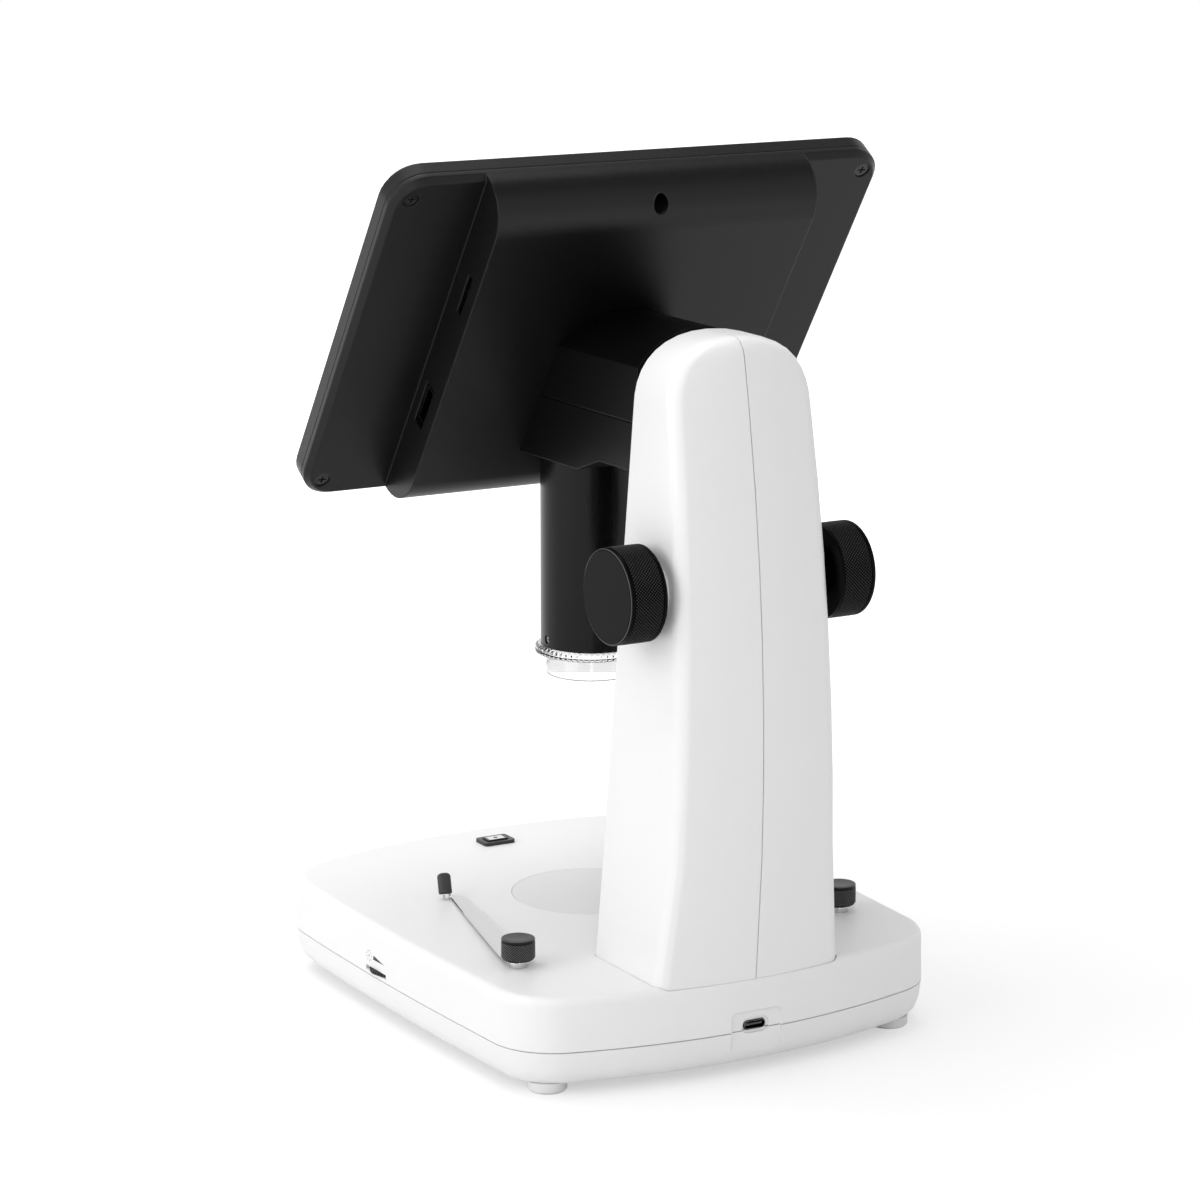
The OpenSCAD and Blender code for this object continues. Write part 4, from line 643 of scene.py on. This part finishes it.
def makeHood():
    # clear hood: plain skirt, ribbed grip ring under the tube and a thin plug up inside it
    node = "clear_hood"
    look = hoodShape
    middle = boxMiddle(node)
    xLow, xHigh = boxSpan(node, 0)
    zLow, zHigh = boxSpan(node, 2)
    _, tubeWide = boxSpan("tube_barrel", 0)
    tubeLow, _ = boxSpan("tube_barrel", 2)
    ringRadius, tall, steps = (xHigh - xLow) / 2, zHigh - zLow, len(look["wave"])
    skirt, plug = ringRadius - look["skirtIn"], tubeWide - look["plugIn"]
    bore, low = skirt - look["wall"], ringRadius - look["ribDeep"]
    top = tubeLow - zLow - look["seat"]
    bottom, ribTop = top - look["ringTall"], top - look["lip"]
    waist, thick = (bottom + ribTop) / 2, skirt - bore
    (outside, inside), (down, out) = look["waistHalf"], look["fillet"]

    def ribbed(under=0.0):
        return lambda i: low - under + look["ribDeep"] * look["wave"][i % steps]

    # inside from the top down, round the lower rim, then up the outside
    plan = [(tall, bore), (tall - look["plugDown"], bore)]
    for i in range(look["rimSteps"] + 1):
        turn = math.pi * i / look["rimSteps"]
        plan.append((thick / 2 * (1 - math.sin(turn)), bore + thick / 2 * (1 - math.cos(turn))))
    plan += [(bottom - down, skirt), (bottom, skirt + out), (bottom, low - look["lowFace"])]
    plan += [(bottom + up, ribbed(under)) for up, under in look["lowSteps"]]
    plan += [(waist - outside, ribbed()), (waist - inside, low - look["waistUnder"]),
             (waist + inside, low - look["waistUnder"]), (waist + outside, ribbed()),
             (ribTop - look["highStep"], ribbed()), (ribTop, ribbed(look["highUnder"])),
             (top, low - look["highFace"]), (top, plug), (tall, plug)]
    bm = bmesh.new()
    place = Matrix.Translation((middle.x, middle.y, zLow))
    rings = [latheRing(bm, place, along, radius, look["ribs"] * steps) for along, radius in plan]
    for a, b in zip(rings, rings[1:] + rings[:1]):
        joinRings(bm, a, b)
    finishPiece("clear_hood_ribbed", bm, "clearPlastic", "hood", [node], sharp=40)


makeHood()
print("hood moulded")

# section is one half of the strip's rolled top: across, in half widths, and its drop
clipShape = {"bend": (-19.5, -84.5), "drop": 1.75, "dropFrom": 6, "eyeRadius": 4.5, "eyeBore": 3.36,
             "eyeSteps": 12, "eyeIn": 0.02, "rootHalf": 5.5, "shoulder": 7.0, "endHalf": 2.85,
             "endBack": 0.1, "stripSteps": 80,
             "thick": 0.5, "rolled": 0.2, "under": 0.04,
             "section": ((0.0, 0.0), (0.4, 0.0), (0.8, 0.1), (0.94, 0.45), (1.0, 1.0)),
             "fillet": 0.9, "filletSteps": 8, "lean": 68, "tongueIn": 1.4, "tongueOut": 4.4,
             "tongueHalf": 1.45, "tongueLong": 7.4, "tongueSteps": 4, "jogFrom": 4.2, "jogLong": 3.0,
             "jogSteps": 6, "sunk": 0.03}


def clipFrame(label):
    # local x runs from the stud to the bend, z is up from the eye; the right clip mirrors the left
    side = 1 if label == "left" else -1
    bendX, bendY = clipShape["bend"]
    stud = boxMiddle("clip_stud_" + label)
    stripLow, _ = boxSpan("clip_spring_" + label, 2)
    turn = math.atan2(bendY, side * bendX)
    eye = Matrix.Translation((stud.x, stud.y, stripLow + clipShape["drop"]))
    place = eye @ Matrix.Rotation(turn, 4, "Z") @ Matrix.Diagonal((1, side, 1, 1))
    return place, math.hypot(bendX, bendY)


def stripSection(bm, place, spot, lean, half):
    # one cross-section of the strip: flat underneath, with rolled edges above
    look = clipShape
    x, y, z = spot
    right = list(look["section"])
    across = [(-a, drop) for a, drop in reversed(right[1:])] + right
    upper = [(a, look["thick"] - look["rolled"] * drop) for a, drop in across]
    under = [(a, look["under"]) for a, _ in reversed(across)]
    points = [Vector((x - math.sin(lean) * up, y + a * half, z + math.cos(lean) * up))
              for a, up in upper + under]
    return [bm.verts.new(place @ point) for point in points]


def loft(bm, sections):
    for a, b in zip(sections, sections[1:]):
        joinRings(bm, a, b)
    bm.faces.new(sections[0])
    bm.faces.new(sections[-1])


def tonguePath(reach):
    # sideways to the strip's outer corner, round the bend and up: (x, z, lean) of the underside
    look = clipShape
    lean, fillet = math.radians(look["lean"]), look["fillet"]
    jog, bent, last = look["jogSteps"], look["filletSteps"], look["tongueSteps"]
    start = reach - fillet * math.tan(lean / 2)
    path = [(reach - look["jogFrom"] + i * (start - reach + look["jogFrom"]) / jog, 0.0, 0.0)
            for i in range(jog + 1)]
    for i in range(1, bent + 1):
        turn = lean * i / bent
        path.append((start + fillet * math.sin(turn), fillet * (1 - math.cos(turn)), turn))
    x, z, _ = path[-1]
    rest = look["tongueLong"] - fillet * math.tan(lean / 2)
    path += [(x + rest * i / last * math.cos(lean), z + rest * i / last * math.sin(lean), lean)
             for i in range(1, last + 1)]
    return path


def makeClipStrip(label):
    # sprung strip of bright steel whose outer corner runs on as a tongue
    look = clipShape
    place, reach = clipFrame(label)
    eye, root, end, steps = look["eyeRadius"], look["rootHalf"], look["endHalf"], look["stripSteps"]
    bm = bmesh.new()
    sections = []
    for i in range(look["eyeSteps"]):
        x = -eye * math.cos(i / look["eyeSteps"] * math.pi / 2) + look["eyeIn"]
        sections.append(stripSection(bm, place, (x, 0, 0), 0, math.sqrt(eye ** 2 - x ** 2)))
    for i in range(steps + 1):
        x = (reach - look["endBack"]) * i / steps
        fall = -look["drop"] * max(0.0, x - look["dropFrom"]) / (reach - look["dropFrom"])
        wide = root + (end - root) * x / reach
        half = eye + (wide - eye) * smoothStep(min(x / look["shoulder"], 1.0))
        sections.append(stripSection(bm, place, (x, 0, fall), 0, half))
    loft(bm, sections)
    sections = []
    for x, z, lean in tonguePath(reach):
        along = min(max((x - reach + look["jogFrom"]) / look["jogLong"], 0.0), 1.0)
        shift = look["tongueIn"] + (look["tongueOut"] - look["tongueIn"]) * smoothStep(along)
        sunk = look["sunk"] if lean == 0 else 0.0
        spot = (x, shift, z - look["drop"] - sunk)
        sections.append(stripSection(bm, place, spot, lean, look["tongueHalf"]))
    loft(bm, sections)
    return finishPiece("clip_strip_" + label, bm, "chromeStrip", "clip_" + label,
                       ["clip_spring_" + label], sharp=50)


# mouth steps: how far up from the start, and how far in; half is the thickness and the width
clipSleeve = {"from": 1.7, "long": 8.0, "half": (1.78, 2.58), "round": 1.5, "roundIn": 1.7,
              "roundSteps": 8, "points": 40, "back": 0.3, "flat": 3, "narrow": 0.3,
              "mouthSteps": ((0.9, 0.95), (0.1, 0.7), (0.0, 0.4), (0.15, 0.1), (0.5, 0.0))}


def makeClipSleeve(label):
    # soft round-ended sleeve pushed down over the tongue, with a turned-in mouth
    look = clipSleeve
    place, reach = clipFrame(label)
    tilt = Matrix.Rotation(math.pi / 2 - math.radians(clipShape["lean"]), 4, "Y")
    foot = Matrix.Translation((reach, clipShape["tongueOut"], -clipShape["drop"]))
    along = place @ foot @ tilt
    thick, wide = look["half"]
    end, bow = look["from"] + look["long"], look["round"]
    plan = [(look["from"] + up, inside) for up, inside in look["mouthSteps"]]
    for i in range(look["roundSteps"] + 1):
        turn = i / look["roundSteps"] * math.pi / 2
        plan.append((end - bow + bow * math.sin(turn), look["roundIn"] * (1 - math.cos(turn))))
    bm = bmesh.new()
    rings = []
    for z, inside in plan:
        ring = []
        for i in range(look["points"]):
            turn = 2 * math.pi * i / look["points"]
            flat = (wide - thick) * max(-1.0, min(1.0, look["flat"] * math.sin(turn)))
            x = (thick - inside) * math.cos(turn) - look["back"]
            y = flat * (1 - look["narrow"] * inside) + (thick - inside) * math.sin(turn)
            ring.append(bm.verts.new(along @ Vector((x, y, z))))
        rings.append(ring)
    loft(bm, rings)
    finishPiece("clip_sleeve_" + label + "_soft", bm, "softSleeve", "clip_" + label,
                ["clip_sleeve_" + label], sharp=60)


# one curl for each pair of across and size
clipCurl = {"radius": 0.95, "wire": 0.24, "wireWide": 1.5, "turns": 0.62, "across": (3.25, 5.55),
            "sizes": (1.0, 0.55), "back": 1.5, "up": 1.1, "steps": 20, "points": 12}


def makeClipCurl(label):
    # bright loops where the sheet curls round the mouth of the sleeve
    look = clipCurl
    place, reach = clipFrame(label)
    side = Vector((0, look["wireWide"], 0))
    bm = bmesh.new()
    for across, size in zip(look["across"], look["sizes"]):
        radius = look["radius"] * size
        rings = []
        for i in range(look["steps"] + 1):
            turn = -math.pi / 2 + i / look["steps"] * 2 * math.pi * look["turns"]
            centre = Vector((reach - look["back"] + radius * math.cos(turn), across,
                             look["up"] - clipShape["drop"] + radius * math.sin(turn)))
            out = Vector((math.cos(turn), 0, math.sin(turn)))
            ring = []
            for k in range(look["points"]):
                around = 2 * math.pi * k / look["points"]
                spread = look["wire"] * (out * math.cos(around) + side * math.sin(around))
                ring.append(bm.verts.new(place @ (centre + spread)))
            rings.append(ring)
        loft(bm, rings)
    finishPiece("clip_curl_" + label, bm, "chromeStud", "clip_" + label, sharp=60)


def carve(obj, cutter):
    # takes the cutter's shape out of a mesh and throws the cutter away
    cut = obj.modifiers.new("carve", "BOOLEAN")
    cut.object = cutter
    cut.operation = "DIFFERENCE"
    cut.solver = "EXACT"
    graph = bpy.context.evaluated_depsgraph_get()
    carved = bpy.data.meshes.new_from_object(obj.evaluated_get(graph))
    obj.modifiers.clear()
    obj.data = carved
    bpy.data.objects.remove(cutter)


eyeDrill = {"below": 3, "long": 9, "points": 64}


def pierceEye(strip, label):
    look = eyeDrill
    stud = boxMiddle("clip_stud_" + label)
    low, _ = boxSpan("clip_spring_" + label, 2)
    place = Matrix.Translation((stud.x, stud.y, low - look["below"]))
    bore = clipShape["eyeBore"]
    bm = bmesh.new()
    for end in latheBody(bm, place, [(0, bore), (look["long"], bore)], look["points"]):
        bm.faces.new(end)
    carve(strip, linkMesh("eyeDrill", bm))


for label in ("left", "right"):
    pierceEye(makeClipStrip(label), label)
    makeClipSleeve(label)
    makeClipCurl(label)
print("stage clips bent")


def surfaceOf(*names):
    # trees of the CAD surfaces in millimetres, for putting prints on them
    trees = []
    for name in names:
        mesh = nodes[name].data
        points = [v.co / mm for v in mesh.vertices]
        trees.append(BVHTree.FromPolygons(points, [tuple(p.vertices) for p in mesh.polygons]))
    return trees


printShape = {"dropFrom": 40, "sink": 0.05}


def stampPrint(name, trees, place, shapes, finish, body, rise=0.05):
    # thin closed prints: each point of a flat shape is dropped down local z onto the surface
    down = (place.to_3x3() @ Vector((0, 0, -1))).normalized()
    bm = bmesh.new()
    for shape in shapes:
        top, under = [], []
        for x, y in shape:
            start = place @ Vector((x, y, printShape["dropFrom"]))
            hits = [tree.ray_cast(start, down) for tree in trees]
            spot = min((hit for hit in hits if hit[0] is not None), key=lambda hit: hit[3])[0]
            top.append(bm.verts.new(spot - down * rise))
            under.append(bm.verts.new(spot + down * printShape["sink"]))
        joinRings(bm, under, top)
        bm.faces.new(top)
        bm.faces.new(under)
    finishPiece(name, bm, finish, body, sharp=30)


def ringOf(radius, count=16, middle=(0, 0)):
    turns = [2 * math.pi * i / count for i in range(count)]
    return [(middle[0] + radius * math.cos(t), middle[1] + radius * math.sin(t)) for t in turns]


def sweepBand(inner, outer, turnFrom, turnTo, count=20):
    # part of a flat ring between two angles in degrees
    turns = [math.radians(turnFrom + (turnTo - turnFrom) * i / count) for i in range(count + 1)]
    return ([(outer * math.cos(t), outer * math.sin(t)) for t in turns]
            + [(inner * math.cos(t), inner * math.sin(t)) for t in reversed(turns)])


def boxOf(xLow, yLow, xHigh, yHigh):
    return [(xLow, yLow), (xHigh, yLow), (xHigh, yHigh), (xLow, yHigh)]


dimmerPrint = {"side": 80, "lampAt": (-17.0, 24.1), "lampRadius": 1.9, "dots": 9, "dot": 0.3,
               "bulb": 0.48, "wedge": [(-13.7, 23.4), (-13.3, 25.0), (-5.0, 23.5)]}


def makeDimmerPrint():
    # a lamp drawn in dots and a wedge that says weak to strong, above the dimmer wheel
    look = dimmerPrint
    trees = surfaceOf("base_upper_shell", "base_lower_shell")
    # local x, y and z are the machine's y, z and x
    place = Matrix(((0, 0, 1, look["side"]), (1, 0, 0, 0), (0, 1, 0, 0), (0, 0, 0, 1)))
    lamp = [ringOf(look["dot"], 10, spot)
            for spot in ringOf(look["lampRadius"], look["dots"], look["lampAt"])]
    lamp.append(ringOf(look["bulb"], 12, look["lampAt"]))
    stampPrint("dimmer_lamp_print", trees, place, lamp, "greyPrint", "base")
    stampPrint("dimmer_wedge_print", trees, place, [look["wedge"]], "darkPrint", "base")


switchPrint = {"wide": 0.76, "deep": 0.82, "dot": 0.85, "dotRise": 0.09}


def makeSwitchPrint():
    # pale inset with a dark dot in the middle of the light switch
    look = switchPrint
    node = "light_switch_button"
    xLow, xHigh = boxSpan(node, 0)
    yLow, yHigh = boxSpan(node, 1)
    half, deep = (xHigh - xLow) / 2 * look["wide"], (yHigh - yLow) / 2 * look["deep"]
    trees = surfaceOf(node)
    place = Matrix.Translation(boxMiddle(node))
    stampPrint("light_switch_inset", trees, place, [boxOf(-half, -deep, half, deep)], "whitePrint",
               "light_switch")
    stampPrint("light_switch_dot", trees, place, [ringOf(look["dot"])], "darkPrint", "light_switch",
               rise=look["dotRise"])


keyPrint = {"tilt": 55.9, "size": 1.5, "line": 0.28, "bars": (-0.9, 0.0, 0.9), "rise": 0.04,
            "arrow": (-0.7, 0.6, 0.85), "powerTurns": (125, 415), "stem": (0.2, 0.3)}


def keyShapes():
    # plain symbols of the five keys: list, back, round, forward and power
    size, line = keyPrint["size"], keyPrint["line"]
    point, back, half = (size * share for share in keyPrint["arrow"])
    stemFrom, stemPast = keyPrint["stem"]
    arrow = [(point, 0), (back, -half), (back, half)]
    ring = sweepBand(size - line * 1.5, size, *keyPrint["powerTurns"])
    return {"menu": [boxOf(-size, y - line, size, y + line) for y in keyPrint["bars"]],
            "left": [arrow],
            "ok": [sweepBand(size - line * 2, size, 0, 359)],
            "right": [[(-x, y) for x, y in reversed(arrow)]],
            "power": [ring, boxOf(-line, stemFrom, line, size + stemPast)]}


def makeKeyPrints():
    turn = math.radians(keyPrint["tilt"])
    for key, shapes in keyShapes().items():
        node = key + "_key"
        # local x is the user's right, y runs up the sloping front and z comes out of it
        place = Matrix.Translation(boxMiddle(node)) @ Matrix.Rotation(turn, 4, "X")
        stampPrint(node + "_print", surfaceOf(node), place, shapes, "whitePrint", key,
                   rise=keyPrint["rise"])


makeDimmerPrint()
makeSwitchPrint()
makeKeyPrints()
print("prints stamped")

# glow is what the camera sees of the floor, from near the object to far away
studio = {"floorGrey": 0.8, "floorHalf": 4.0, "floorSeen": 0.55, "glow": (0.47, 1.0),
          "glowRadii": (0.22, 0.9), "worldLevel": 0.56, "domeFrom": (0.42, 0.8), "domeTop": 0.2,
          "aim": (0.0, 0.0, 0.15),
          "lamps": {"keyLamp": {"place": (1.5, 0.15, 0.75), "size": (1.2, 1.2), "power": 9.6},
                    "fillLamp": {"place": (0.8, 1.6, 0.95), "size": (0.3, 1.3), "power": 4.6},
                    "topLamp": {"place": (0.15, -0.55, 1.7), "size": (1.6, 1.6), "power": 17.4}}}


def seenRays(tree):
    # 1 where the camera, a reflection or clear plastic looks, 0 where light only bounces
    path = tree.nodes.new("ShaderNodeLightPath")
    direct = mathNode(tree, "MAXIMUM", path.outputs["Is Camera Ray"], path.outputs["Is Glossy Ray"])
    return mathNode(tree, "MAXIMUM", direct, path.outputs["Is Transmission Ray"])


def makeFloor():
    bm = bmesh.new()
    bmesh.ops.create_grid(bm, x_segments=8, y_segments=8, size=studio["floorHalf"])
    mesh = bpy.data.meshes.new("floor")
    bm.to_mesh(mesh)
    bm.free()
    floor = bpy.data.objects.new("floor", mesh)
    bpy.context.scene.collection.objects.link(floor)
    mat, tree, shader = newMaterial("floorPaper", Roughness=0.9, Base_Color=grey(studio["floorGrey"]))
    away = addNode(tree, "ShaderNodeVectorMath", [(0, objectPlace(tree))],
                   operation="LENGTH").outputs["Value"]
    level = mapRange(tree, away, *studio["glowRadii"], *studio["glow"])
    glow = addNode(tree, "ShaderNodeEmission", [("Color", grey(1.0)), ("Strength", level)])
    paper = addNode(tree, "ShaderNodeBsdfDiffuse", [("Color", grey(studio["floorSeen"]))])
    both = addNode(tree, "ShaderNodeAddShader", [(0, paper.outputs[0]), (1, glow.outputs[0])])
    mix = addNode(tree, "ShaderNodeMixShader", [(0, seenRays(tree)), (1, shader.outputs[0]),
                                                (2, both.outputs[0])])
    tree.links.new(mix.outputs[0], tree.nodes["Material Output"].inputs["Surface"])
    mesh.materials.append(mat)


def aimAt(obj, place, target):
    obj.location = place
    obj.rotation_mode = "QUATERNION"
    obj.rotation_quaternion = (Vector(target) - Vector(place)).to_track_quat("-Z", "Y")
    bpy.context.scene.collection.objects.link(obj)


def makeLamps():
    for name, lamp in studio["lamps"].items():
        data = bpy.data.lights.new(name, "AREA")
        data.shape = "RECTANGLE"
        data.size, data.size_y = lamp["size"]
        data.energy = lamp["power"]
        aimAt(bpy.data.objects.new(name, data), lamp["place"], studio["aim"])


def makeWorld():
    # bright round the horizon and dimmer overhead where it is seen, even where it only lights
    world = bpy.data.worlds.new("studio")
    bpy.context.scene.world = world
    world.use_nodes = True
    tree = world.node_tree
    back = tree.nodes["Background"]
    direction = tree.nodes.new("ShaderNodeTexCoord").outputs["Generated"]
    height = addNode(tree, "ShaderNodeSeparateXYZ", [(0, direction)]).outputs["Z"]
    dome = mapRange(tree, height, *studio["domeFrom"], 1.0, studio["domeTop"])
    level = mapRange(tree, seenRays(tree), 0.0, 1.0, studio["worldLevel"], dome)
    back.inputs["Color"].default_value = grey(1.0)
    tree.links.new(level, back.inputs["Strength"])


cameraView = {"place": (0.7069, 1.2400, 0.4711), "target": (0.0039, 0.0019, 0.1531), "lens": 118.2,
              "sensor": 36, "far": 50}


def makeCamera():
    data = bpy.data.cameras.new("viewCamera")
    data.sensor_width = cameraView["sensor"]
    data.lens = cameraView["lens"]
    data.clip_end = cameraView["far"]
    camera = bpy.data.objects.new("viewCamera", data)
    aimAt(camera, cameraView["place"], cameraView["target"])
    bpy.context.scene.camera = camera


makeFloor()
makeWorld()
makeLamps()
makeCamera()
bpy.context.scene.view_settings.view_transform = "Standard"
print("stage, lights and camera made")
